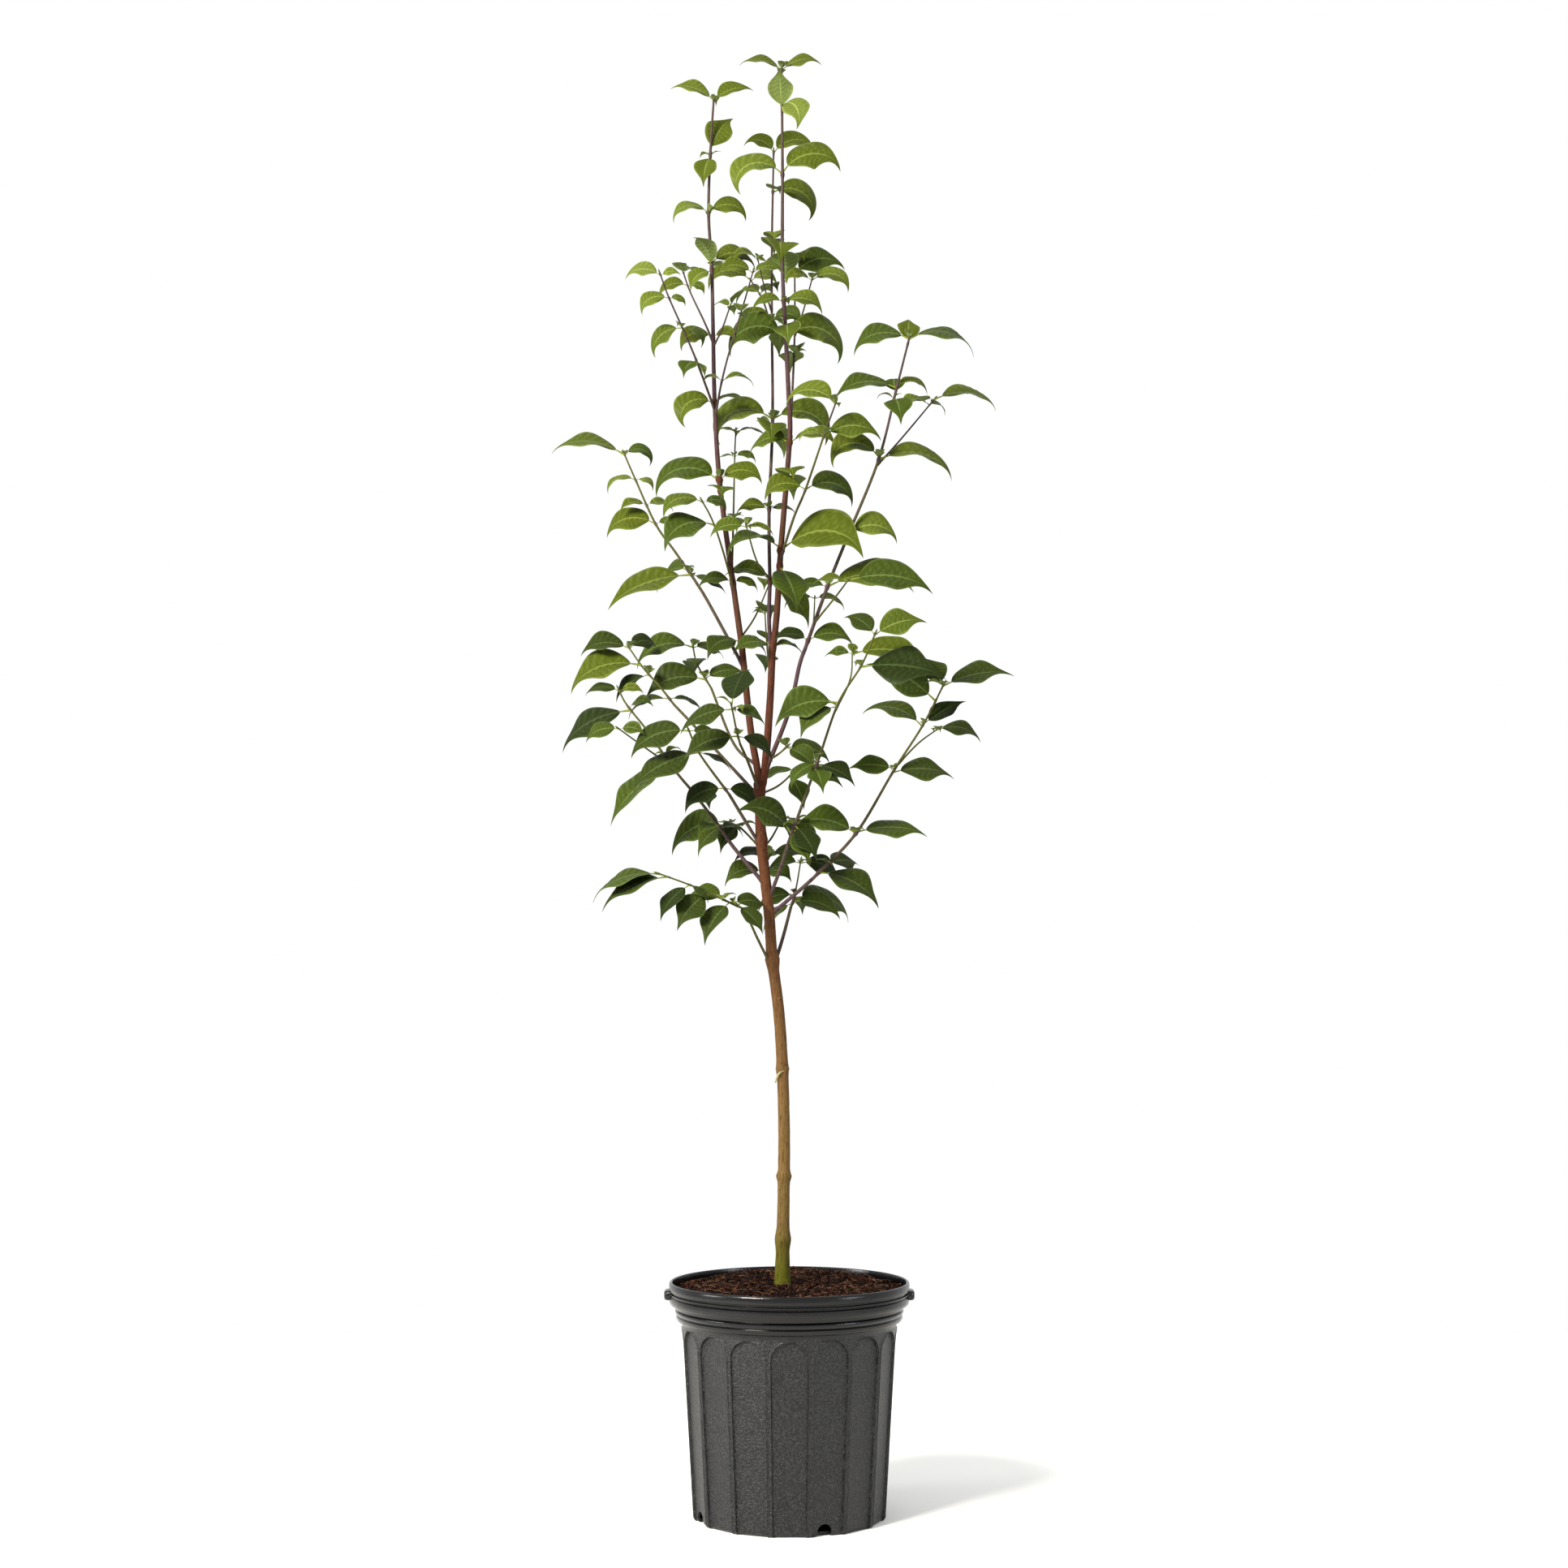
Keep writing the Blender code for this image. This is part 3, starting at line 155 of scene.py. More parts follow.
MASSES = {
    "left_leader_leaves": (
        Shoot("left_leader_stem", "left_leader", 0,
              ((-67, 6, 1091), (-83, 9, 1212), (-89, 11, 1306), (-91, 13, 1387), (-93, 15, 1472),
               (-97, 17, 1540), (-95, 19, 1615), (-91, 20, 1682)), (7.4, 2.6),
              (Pair(1019, 202, 62, 42, 12, 85, 40), Pair(1091, 190, 46, 38), Pair(1200, 268, 60, 0, 20, 80),
               Pair(1212, 176, 102, 0, 44, 128, 44), Pair(1214, 356, 62, 0, 42, 110, 44),
               Pair(1306, 196, 72, 0, 24, 150, 44), Pair(1308, 8, 46, 0, 40, 100),
               Pair(1387, 182, 54, 42, 35, 125, 46), Pair(1472, 250, 56, 0, 66, 70),
               Pair(1478, 8, 66, 0, 48, 105, 50), Pair(1468, 215, 46, 0, -10, 80, 44),
               Pair(1540, 183, 60, 60, 42, 125, 42), Pair(1610, 255, 52, 0, -40, 45, 30),
               Pair(1616, 40, 62, 0, 72, 35, 60), Pair(1682, 184, 58, 52, 42, 70, 44))),
        Shoot("left_side_shoot", "left_leader_stem", 1298,
              ((-113, -28, 1358), (-140, -58, 1415), (-151, -70, 1443)), (3.0, 1.8),
              (Pair(1350, 240, 46, 26, -15, 70), Pair(1385, 178, 56, 40, 6, 110, 40),
               Pair(1416, 190, 46, 24, 25, 120, 46), Pair(1443, 178, 48, 26, 35, 90, 46))),
        Shoot("left_back_shoot", "left_leader_stem", 1380,
              ((-101, 15, 1405), (-120, 45, 1451), (-129, 60, 1479)), (2.6, 1.8),
              (Pair(1460, 182, 46, 26, 25, 110, 46), Pair(1479, 250, 32, 44, 60))),
        Shoot("left_front_spur", "left_leader_stem", 1376, ((-69, -58, 1408),), (2.4, 1.6),
              (Pair(1408, 322, 46, 30, 50, 90, 46),)),
        Shoot("left_inner_shoot", "left_leader_stem", 1290,
              ((-81, -12, 1324), (-71, -30, 1359), (-53, -56, 1412), (-42, -75, 1445)), (2.8, 1.6),
              (Pair(1328, 2, 46, 30, 40), Pair(1400, 280, 34, 30), Pair(1445, 12, 46, 44, 40, 100, 46))),
        Shoot("left_rear_shoot", "left_leader_stem", 1100,
              ((-67, 20, 1158), (-66, 60, 1252), (-65, 75, 1287)), (2.8, 1.6),
              (Pair(1170, 80, 44, 34), Pair(1252, 180, 28, 32), Pair(1287, 2, 46, 28))),
        Shoot("left_low_shoot", "left_leader_stem", 1082,
              ((-80, -25, 1130), (-91, -42, 1159), (-102, -55, 1178)), (2.8, 1.8),
              (Pair(1152, 200, 80, 0, 14, 100, 50), Pair(1178, 180, 60, 36, 32, 112, 44))),
        Shoot("left_hidden_shoot", "left_leader_stem", 1024, ((-24, 120, 1106),), (2.6, 1.6),
              (Pair(1106, 80, 46, 40, 30),)),
    ),
    "middle_leader_leaves": (
        Shoot("middle_leader_stem", "middle_leader", 0,
              ((-15, 0, 1049), (-10, 0, 1128), (-3, 0, 1214), (1, 0, 1272), (-1, 0, 1321),
               (-4, 0, 1385), (-8, 0, 1468), (-8, 0, 1582), (-9, 0, 1712)), (8.0, 2.6),
              (Pair(1013, 205, 58, 44, 22, 88), Pair(1108, 288, 86, 0, -30, 45),
               Pair(1128, 337, 130, 0, 34, 104, 46), Pair(1130, 196, 92, 0, 36, 112, 20),
               Pair(1214, 272, 62, 70), Pair(1257, 338, 66, 62, 30, 100, 44),
               Pair(1385, 4, 104, 94, 36, 142, 46), Pair(1396, 278, 62, 56, 10),
               Pair(1427, 4, 56, 46, 22, 95, 44), Pair(1488, 262, 78, 62, 20),
               Pair(1582, 178, 88, 0, 44, 160, 50), Pair(1584, 0, 84, 0, 54, 122, 50),
               Pair(1660, 262, 56, 0, 70, 45), Pair(1667, 312, 62, 0, 10, 125, 40),
               Pair(1712, 176, 54, 56, 40, 80, 42))),
        Shoot("middle_back_shoot", "middle_leader_stem", 1262,
              ((4, 30, 1327), (7, 78, 1416), (7, 120, 1506)), (3.2, 2.0),
              (Pair(1375, 95, 56, 40), Pair(1490, 10, 74, 50, 58, 112, 48), Pair(1506, 285, 50, 44, 55))),
        Shoot("middle_back_spur", "middle_back_shoot", 1402, ((28, 38, 1466),), (2.4, 1.6),
              (Pair(1466, 352, 58, 42, 40, 115, 46),)),
        Shoot("middle_front_shoot", "middle_leader_stem", 1116,
              ((5, -20, 1163), (19, -38, 1194), (40, -70, 1251), (54, -90, 1287)), (3.4, 2.0),
              (Pair(1194, 3, 74, 62, 38, 120, 44), Pair(1251, 5, 76, 36, 34, 100, 46),
               Pair(1287, 172, 70, 0, 48, 110, 48))),
    ),
    "twin_leader_leaves": (
        Shoot("twin_leader_stem", "twin_leader", 0,
              ((-24, 25, 1181), (-20, 41, 1291), (-21, 60, 1419), (-21, 74, 1519), (-19, 90, 1639)),
              (4.4, 2.2),
              (Pair(1095, 176, 66, 0, 44, 90, 44), Pair(1093, 14, 78, 0, -20, 62, 66),
               Pair(1181, 180, 46, 38), Pair(1284, 268, 64, 62, 10), Pair(1294, 178, 102, 98, 36, 145, 44),
               Pair(1421, 184, 52, 48, 40, 125, 46), Pair(1519, 95, 52, 50),
               Pair(1587, 285, 46, 0, 1, 60), Pair(1585, 8, 78, 0, 34, 155, 56),
               Pair(1639, 182, 48, 0, 62, 120, 55), Pair(1636, 4, 64, 0, 60, 110, 60))),
        Shoot("twin_back_shoot", "twin_leader_stem", 1408,
              ((-32, 92, 1452), (-48, 125, 1487)), (2.6, 1.8),
              (Pair(1462, 130, 56, 46), Pair(1487, 184, 70, 44, 46, 125, 50))),
        Shoot("twin_inner_spur", "twin_leader_stem", 1430, ((-38, 24, 1486),), (2.2, 1.4),
              (Pair(1486, 186, 44, 44, 40),)),
        Shoot("twin_front_shoot", "twin_leader_stem", 1096,
              ((-38, -34, 1110), (-50, -84, 1144)), (2.6, 1.6),
              (Pair(1144, 186, 50, 34, 20, 80, 40),)),
    ),
    "right_bough_leaves": (
        Shoot("right_bough_stem", "right_bough", 0,
              ((45, -17, 1082), (70, -24, 1144), (105, -36, 1230), (126, -45, 1313), (141, -55, 1372)),
              (4.4, 2.4),
              (Pair(1019, 4, 62, 46, 32, 90, 42), Pair(1082, 0, 114, 44, 26, 64, 34),
               Pair(1144, 8, 72, 0, 36, 100, 44), Pair(1143, 188, 78, 0, 50, 112, 46),
               Pair(1230, 356, 106, 0, 28, 90, 36), Pair(1232, 178, 84, 0, 58, 150, 50),
               Pair(1300, 272, 62, 0, -5, 80), Pair(1306, 100, 50, 0, 60, 60),
               Pair(1313, 182, 86, 0, 28, 80, 38), Pair(1316, 20, 48, 0, 40, 110, 44),
               Pair(1364, 78, 48, 0, 72, 50), Pair(1372, 0, 92, 78, 28, 92, 38))),
        Shoot("right_back_shoot", "right_bough_stem", 1222,
              ((132, 4, 1261), (177, 52, 1322)), (2.6, 1.8),
              (Pair(1312, 200, 44, 40), Pair(1322, 0, 88, 44, 22, 82, 36))),
        Shoot("right_front_shoot", "right_bough_stem", 1040,
              ((54, -58, 1065), (68, -92, 1080)), (2.6, 1.8),
              (Pair(1080, 3, 108, 42, 18, 58, 38),)),
        Shoot("right_inner_spur", "right_bough_stem", 1036, ((31, 58, 1080),), (2.2, 1.4),
              (Pair(1080, 190, 46, 44, 20),)),
    ),
    "right_spur_leaves": (
        Shoot("right_spur", "right_bough", 880, ((-2, -16, 894),), (2.6, 2.0),
              (Pair(892, 12, 62, 0, 10, 60, 40), Pair(894, 340, 54, 0, -10, 50, 40))),
    ),
    "upper_left_leaves": (
        Shoot("upper_left_stem", "upper_left_bough", 0,
              ((-136, 19, 1129), (-160, 27, 1164), (-185, 42, 1220), (-200, 52, 1255)), (3.2, 2.0),
              (Pair(1101, 184, 108, 48, -6, 46, 26), Pair(1107, 152, 74, 0, 20, 80, 44),
               Pair(1164, 180, 70, 40, 30, 105, 44), Pair(1188, 204, 38, 38),
               Pair(1220, 186, 46, 30, 26, 120),
               Pair(1255, 180, 96, 0, 28, 72, 34), Pair(1255, 4, 50, 0, 44, 150, 50))),
    ),
    "middle_left_leaves": (
        Shoot("middle_left_stem", "middle_left_bough", 0,
              ((-155, 43, 970), (-176, 51, 994), (-194, 60, 1020)), (2.8, 1.8),
              (Pair(955, 178, 62, 48, 10), Pair(985, 192, 58, 0, -12, 56, 36),
               Pair(997, 182, 102, 0, 8, 78, 34),
               Pair(1020, 182, 68, 0, 26, 84, 50), Pair(1019, 30, 46, 0, 46, 100, 50))),
    ),
    "back_left_leaves": (
        Shoot("back_left_stem", "back_left_bough", 0, ((-112, 88, 1002), (-118, 108, 1027)), (2.6, 1.8),
              (Pair(981, 182, 84, 0, 12, 76, 44), Pair(983, 20, 56, 0, 34, 60, 44), Pair(1004, 92, 56, 44),
               Pair(1027, 178, 80, 0, 24, 98, 48), Pair(1025, 30, 48, 0, 20, 60, 40))),
    ),
    "front_left_leaves": (
        Shoot("front_left_stem", "front_left_bough", 0, ((-61, -80, 908), (-66, -122, 933)), (2.6, 1.8),
              (Pair(901, 190, 72, 54, -4, 55, 40), Pair(928, 184, 68, 44, -2, 46, 34),
               Pair(933, 296, 68, 0, 66, 60))),
    ),
    "green_left_leaves": (
        Shoot("green_left_stem", "green_left_bough", 0, ((-104, -50, 882), (-117, -66, 910)), (3.2, 2.0),
              (Pair(843, 190, 60, 52, 4, 84, 40), Pair(884, 192, 92, 44, -14, 40, 26),
               Pair(910, 182, 78, 48, 10, 78, 44))),
    ),
    "long_left_leaves": (
        Shoot("long_left_stem", "long_left_bough", 0,
              ((-112, 13, 839), (-136, 17, 868), (-168, 23, 914), (-194, 28, 947), (-204, 30, 966)),
              (4.0, 2.0),
              (Pair(800, 238, 46, 42, 12, 70, 40), Pair(836, 75, 54, 0, 20),
               Pair(880, 186, 102, 0, -38, 20, 22),
               Pair(884, 236, 62, 0, -54, 20, 30), Pair(940, 184, 102, 0, -6, 48, 28),
               Pair(943, 24, 46, 0, 44, 100, 40),
               Pair(966, 176, 46, 34, 26, 70, 40))),
        Shoot("long_left_spur", "long_left_stem", 872, ((-178, -22, 898), (-199, -52, 912)), (2.4, 1.6),
              (Pair(912, 172, 48, 38, 14, 70, 44),)),
    ),
    "front_right_leaves": (
        Shoot("front_right_stem", "front_right_bough", 0,
              ((33, -65, 873), (56, -98, 937), (82, -122, 978), (97, -142, 1012)), (3.8, 2.0),
              (Pair(790, 200, 80, 0, 56, 90, 56), Pair(800, 312, 60, 0, -28, 40, 30),
               Pair(796, 300, 56, 0, -40, 30, 30), Pair(868, 345, 56, 0, -10, 48, 34),
               Pair(864, 284, 54, 0, -18, 50), Pair(870, 188, 46, 0, -16, 60, 30),
               Pair(937, 184, 88, 0, 14, 70, 44), Pair(933, 206, 62, 0, -12, 56, 40),
               Pair(976, 354, 104, 0, 2, 36, 50), Pair(1012, 14, 66, 0, 34, 44, 60),
               Pair(1011, 150, 48, 0, 56, 56, 50))),
        Shoot("front_right_spur", "front_right_stem", 926, ((70, -76, 966), (73, -64, 1000)), (2.4, 1.6),
              (Pair(1000, 356, 98, 34, 14, 52, 40),)),
    ),
    "long_right_leaves": (
        Shoot("long_right_stem", "long_right_bough", 0,
              ((78, -16, 791), (122, -30, 864), (156, -41, 917), (180, -50, 964)), (4.0, 2.0),
              (Pair(746, 350, 92, 0, -2, 62, 24), Pair(756, 30, 58, 0, 14, 30, 44),
               Pair(791, 182, 78, 0, 32, 58, 56), Pair(793, 0, 86, 0, 16, 50, 38),
               Pair(862, 2, 74, 0, 14, 40, 32), Pair(866, 182, 58, 0, 16, 44, 46),
               Pair(915, 178, 80, 0, 48, 70, 34), Pair(918, 4, 56, 0, 32, 18, 52),
               Pair(944, 184, 98, 0, 42, 44, 56), Pair(962, 120, 62, 0, 56, 20, 50),
               Pair(964, 4, 90, 0, 28, 40, 38))),
        Shoot("long_right_spur", "long_right_stem", 870, ((152, -4, 898), (177, 34, 918)), (2.4, 1.6),
              (Pair(918, 0, 60, 0, 24, 70, 40),)),
    ),
    "low_left_leaves": (
        Shoot("low_left_stem", "low_left_bough", 0,
              ((-94, -50, 721), (-115, -58, 730), (-151, -70, 743)), (2.4, 1.8),
              (Pair(706, 325, 50, 0, -24, 44, 40), Pair(708, 30, 54, 0, 26, 70, 40),
               Pair(710, 232, 64, 0, -34, 40, 36), Pair(713, 150, 54, 0, 30, 60, 40),
               Pair(721, 214, 66, 0, -30, 44, 36), Pair(730, 202, 58, 34, -26, 50, 36),
               Pair(739, 190, 88, 0, -10, 50, 26), Pair(743, 176, 92, 0, 2, 60, 26))),
    ),
    "low_right_leaves": (
        Shoot("low_right_stem", "low_right_bough", 0, ((8, 76, 723),), (3.2, 2.2),
              (Pair(711, 186, 54, 0, -24, 50, 34), Pair(713, 350, 64, 0, 12, 56, 46),
               Pair(716, 3, 98, 0, 16, 74, 42),
               Pair(718, 75, 58, 0, 10), Pair(723, 186, 52, 0, 12, 80, 40))),
        Shoot("low_right_spur", "low_right_stem", 714, ((14, 66, 762),), (2.2, 1.6),
              (Pair(762, 184, 48, 58, 14, 80, 46),)),
    ),
    "left_spur_leaves": (
        Shoot("left_spur", "trunk", 772, ((-58, 34, 800), (-77, 60, 809)), (2.8, 2.0),
              (Pair(800, 105, 52, 0, 20), Pair(803, 236, 48, 0, -30, 50),
               Pair(806, 208, 64, 0, -16, 60, 40),
               Pair(809, 188, 96, 0, 8, 82, 44))),
    ),
    "right_hanging_leaves": (
        Shoot("right_hanging_spur", "trunk", 773, ((-9, 58, 812),), (2.8, 2.0),
              (Pair(808, 348, 62, 0, -28, 40, 44), Pair(812, 322, 70, 0, -22, 44, 40),
               Pair(810, 60, 50, 0, 20))),
    ),
    "fork_spur_leaves": (
        Shoot("fork_spur", "trunk", 838, ((10, 78, 874),), (2.8, 2.0),
              (Pair(864, 314, 50, 0, -40, 30, 36), Pair(874, 352, 60, 50, -2, 46, 34))),
    ),
    "back_low_leaves": (
        Shoot("back_low_stem", "trunk", 722, ((-30, 62, 750), (-22, 96, 772)), (3.0, 2.0),
              (Pair(748, 184, 56, 50, 16, 80, 40), Pair(772, 100, 58, 0, 20), Pair(770, 195, 52, 46, 20))),
    ),
    "back_leaves": (
        Shoot("back_stem", "back_bough", 0, ((-28, 140, 1042), (-30, 156, 1074)), (2.6, 1.8),
              (Pair(1012, 95, 52, 0, 20), Pair(1042, 80, 58, 0, 30), Pair(1074, 90, 58, 48, 40))),
    ),
}


# Growth: the same rule as the solids'

def blend(points: Sequence[Vector], place: float) -> Vector:
    """Finds a point on the smooth curve through some points.

    Args:
        points: the points that the curve runs through.
        place: how many spans from the first point.

    Returns:
        The point on the curve.
    """
    span = min(int(place), len(points) - 2)
    share = place - span
    before = points[span - 1] if span else points[0] * 2 - points[1]
    start, end = points[span], points[span + 1]
    after = points[span + 2] if span + 2 < len(points) else end * 2 - start
    return (start * 2 + (end - before) * share
            + (before * 2 - start * 5 + end * 4 - after) * share ** 2
            + (start * 3 - before - end * 3 + after) * share ** 3) / 2


def round_ring(middle: Vector, side: Vector, across: Vector, radius: float, sides: int) -> list[Vector]:
    """Places the corners of a round ring.

    Args:
        middle: its middle.
        side: the way from there to its first corner.
        across: the way in which the corners go round, square to side.
        radius: how far they stand from the middle.
        sides: how many there are.

    Returns:
        The corners.
    """
    return [middle + (side * math.cos(a) + across * math.sin(a)) * radius
            for a in (2 * math.pi * i / sides for i in range(sides))]


class Limb:
    """The middle line of a trunk, bough or shoot, with its thickness."""

    SPAN_STEPS = 10

    def __init__(self, points: Sequence[Vector], girth: tuple, flare: tuple = (0.0, 1.0),
                 nodes: tuple = (), heading: Union[Vector, None] = None) -> None:
        """Lays the line through its points.

        Args:
            points: the points of its route.
            girth: diameters at the root and at the tip.
            flare: how much wider the foot is, and how fast that dies away.
            nodes: old nodes as height, swelling and width.
            heading: the way it starts, where it carries on from a cut end.
        """
        count = (len(points) - 1) * self.SPAN_STEPS
        self.line = [blend(points, i / self.SPAN_STEPS) for i in range(count + 1)]
        self.reach = [0.0]
        for start, end in zip(self.line, self.line[1:]):
            self.reach.append(self.reach[-1] + (end - start).length)
        self.girth, self.flare, self.nodes, self.heading = girth, flare, nodes, heading
        self.marks: list[float] = []
        self.joints: list[float] = []

    @property
    def length(self) -> float:
        """The length of the line."""
        return self.reach[-1]

    def point(self, share: float) -> Vector:
        """The point at a share of the length."""
        goal = share * self.length
        index = next((i for i, r in enumerate(self.reach[1:]) if r >= goal), len(self.line) - 2)
        part = (goal - self.reach[index]) / (self.reach[index + 1] - self.reach[index])
        return self.line[index].lerp(self.line[index + 1], part)

    def share_at(self, height: float) -> float:
        """The share of the length at which the line first reaches a height."""
        for index, (start, end) in enumerate(zip(self.line, self.line[1:])):
            if end.z >= height:
                part = max(0.0, (height - start.z) / (end.z - start.z))
                return (self.reach[index] + part * (end - start).length) / self.length
        return 1.0

    def tangent(self, share: float) -> Vector:
        """The way the line runs; at its root, square to the end that it carries on from."""
        if share == 0 and self.heading:
            return self.heading
        step = 0.01
        return (self.point(min(1.0, share + step)) - self.point(max(0.0, share - step))).normalized()

    def stations(self) -> list[float]:
        """The shares at which a solid twig has its rings."""
        kept = [0.0]
        for mark in sorted(self.marks):
            if min(mark - kept[-1], 1 - mark) * self.length > ROOT_SINK:
                kept.append(mark)
        kept.append(1.0)
        shares = [0.0]
        for low, high in zip(kept, kept[1:]):
            count = math.ceil((high - low) * self.length / TWIG_SPACING)
            shares += [low + (high - low) * (i + 1) / count for i in range(count)]
        return shares

    def tip_heading(self) -> Vector:
        """The way the last piece of a solid limb runs."""
        spacing = TRUNK_SPACING if self.nodes else BOUGH_SPACING
        steps = max(2, round(self.length / spacing))
        return (self.point(1.0) - self.point((steps - 1) / steps)).normalized()

    def radius(self, share: float) -> float:
        """Half the thickness at a share of the length."""
        point = self.point(share)
        radius = (self.girth[0] + (self.girth[1] - self.girth[0]) * share) / 2
        radius += self.flare[0] * math.exp(-share * self.length / self.flare[1])
        for height, extra, width in self.nodes:
            radius += extra * math.exp(-(((point.z - height) / width) ** 2))
        return radius

    def sections(self, sides: int, extra: float) -> list[list[Vector]]:
        """The round sections of the solid along the line, widened by extra."""
        side = self.tangent(0).orthogonal().normalized()
        made = []
        for share in self.stations():
            along = self.tangent(share)
            side = (side - along * side.dot(along)).normalized()
            across = along.cross(side)
            radius = self.radius(share) + extra
            made.append(round_ring(self.point(share), side, across, radius, sides))
        return made


@dataclass(frozen=True)
class Leaf:
    """One leaf: where it starts, where it points and how it curves, in millimetres and degrees."""

    base: Vector
    turn: float
    lift: float
    droop: float
    sweep: float
    roll: float
    fold: float
    length: float

    @staticmethod
    def width(share: float) -> float:
        """Half the blade's width at a share of its length, as a share of the widest."""
        bulge = max(0.0, math.sin(math.pi * share ** BROADEST)) ** FULLNESS
        return bulge * (1 - TIP_LOSS * share ** 4)

    def frame(self, share: float) -> tuple[Vector, Vector, Vector]:
        """The heading, side and top directions at a share of the length."""
        turn = math.radians(self.turn + self.sweep * share)
        rise = math.radians(self.lift - self.droop * share ** DROOP_CURVE)
        heading = Vector((math.cos(rise) * math.cos(turn), math.cos(rise) * math.sin(turn), math.sin(rise)))
        side = Vector((-math.sin(turn), math.cos(turn), 0.0))
        tilt = Matrix.Rotation(math.radians(self.roll) * min(1.0, share / PETIOLE), 3, heading)
        return heading, tilt @ side, tilt @ heading.cross(side)

    def course(self, steps: int = LEAF_STEPS) -> list[Vector]:
        """The middle line in even steps, from the root in the stem to the tip."""
        line = [self.base.copy()]
        for step in range(steps):
            heading, _, _ = self.frame((step + 0.5) / steps)
            line.append(line[-1] + heading * self.length / steps)
        return line

    def sections(self, first: int = 0, margin: float = 0.0) -> list[list[Vector]]:
        """The four-point sections of the solid leaf, and its tip.

        Args:
            first: 0 for the whole leaf, 1 for its blade alone.
            margin: how far the sections are widened.

        Returns:
            The sections' points, the last a single point.
        """
        line = self.course()
        made = []
        for step in SOLID_STEPS[first:]:
            share = step / LEAF_STEPS
            _, side, top = self.frame(max(share, PETIOLE))
            in_blade = max(0.0, (share - PETIOLE) / (1 - PETIOLE))
            half = max(PETIOLE_THICKNESS, HALF_WIDTH * self.length * self.width(in_blade)) + margin
            thick = LEAF_THICKNESS / 2 + margin
            if step == 0:
                half, thick = half * ROOT_SHRINK, thick * ROOT_SHRINK
            out, up = math.cos(math.radians(self.fold)), math.sin(math.radians(self.fold))
            point = line[step]
            made.append([point + side * half * out + top * half * up, point - top * thick,
                         point - side * half * out + top * half * up, point + top * thick])
        made.append([line[-1]])
        return made


def lofted(sections: Sequence[Sequence[Vector]]) -> tuple[list[Vector], list[tuple]]:
    """Points and faces of a closed skin over sections; the last may be a single point."""
    points = [p for section in sections for p in section]
    count = len(sections[0])
    faces = [tuple(range(count))[::-1]]
    for ring in range(len(sections) - 1):
        low, high = ring * count, (ring + 1) * count
        for i in range(count):
            j = (i + 1) % count
            if len(sections[ring + 1]) == 1:
                faces.append((low + i, low + j, high))
            else:
                faces.append((low + i, low + j, high + j, high + i))
    if len(sections[-1]) > 1:
        start = (len(sections) - 1) * count
        faces.append(tuple(range(start, start + count)))
    return points, faces


class Crown:
    """What already stands in the crown, so that each new leaf keeps clear of it."""

    MARGIN = 0.9  # how far everything is widened when it is tested
    SIDES = 6  # of a limb's sections in the test

    def __init__(self, limbs: dict[str, Limb]) -> None:
        """Takes the room of every limb and shoot."""
        owners = {shoot.name: mass for mass, shoots in MASSES.items() for shoot in shoots}
        self.taken = []
        for name, limb in limbs.items():
            room = self.room(limb.sections(self.SIDES, self.MARGIN))
            self.taken.append((owners.get(name, name), name, *room))

    @staticmethod
    def room(sections: Sequence[Sequence[Vector]]) -> tuple[BVHTree, Vector, Vector]:
        """A search tree over a lofted shape, with its lowest and highest corners."""
        points, faces = lofted(sections)
        low = Vector(min(p[i] for p in points) for i in range(3))
        high = Vector(max(p[i] for p in points) for i in range(3))
        return BVHTree.FromPolygons(points, faces), low, high

    def is_clear(self, leaf: Leaf, mass: str, stem: str) -> bool:
        """Whether the blade misses its own spray and the whole leaf misses everything else."""
        blade = self.room(leaf.sections(1, self.MARGIN))
        whole = self.room(leaf.sections(0, self.MARGIN))
        for owner, name, tree, low, high in self.taken:
            if name == stem:
                continue
            mine = blade if owner == mass else whole
            if any(mine[2][i] < low[i] or high[i] < mine[1][i] for i in range(3)):
                continue
            if mine[0].overlap(tree):
                return False
        return True

    def settle(self, leaf: Leaf, mass: str, stem: str) -> Union[Leaf, None]:
        """Turns a leaf until it is clear and keeps it.

        Args:
            leaf: the leaf as drawn.
            mass: the spray that it belongs to.
            stem: the shoot that it grows on.

        Returns:
            The leaf as it stands, or None where nothing is clear.
        """
        for attempt, turn in enumerate(TRY_TURNS):
            tried = replace(leaf, turn=leaf.turn + turn, length=leaf.length * (1 - TRY_SHRINK * attempt))
            if self.is_clear(tried, mass, stem):
                self.taken.append((mass, "", *self.room(tried.sections())))
                return tried
        return None


class LeafAge(Enum):
    """Which leaves are grown: those of the solids, or the finer ones added after them."""

    GROWN = "grown"
    YOUNG = "young"


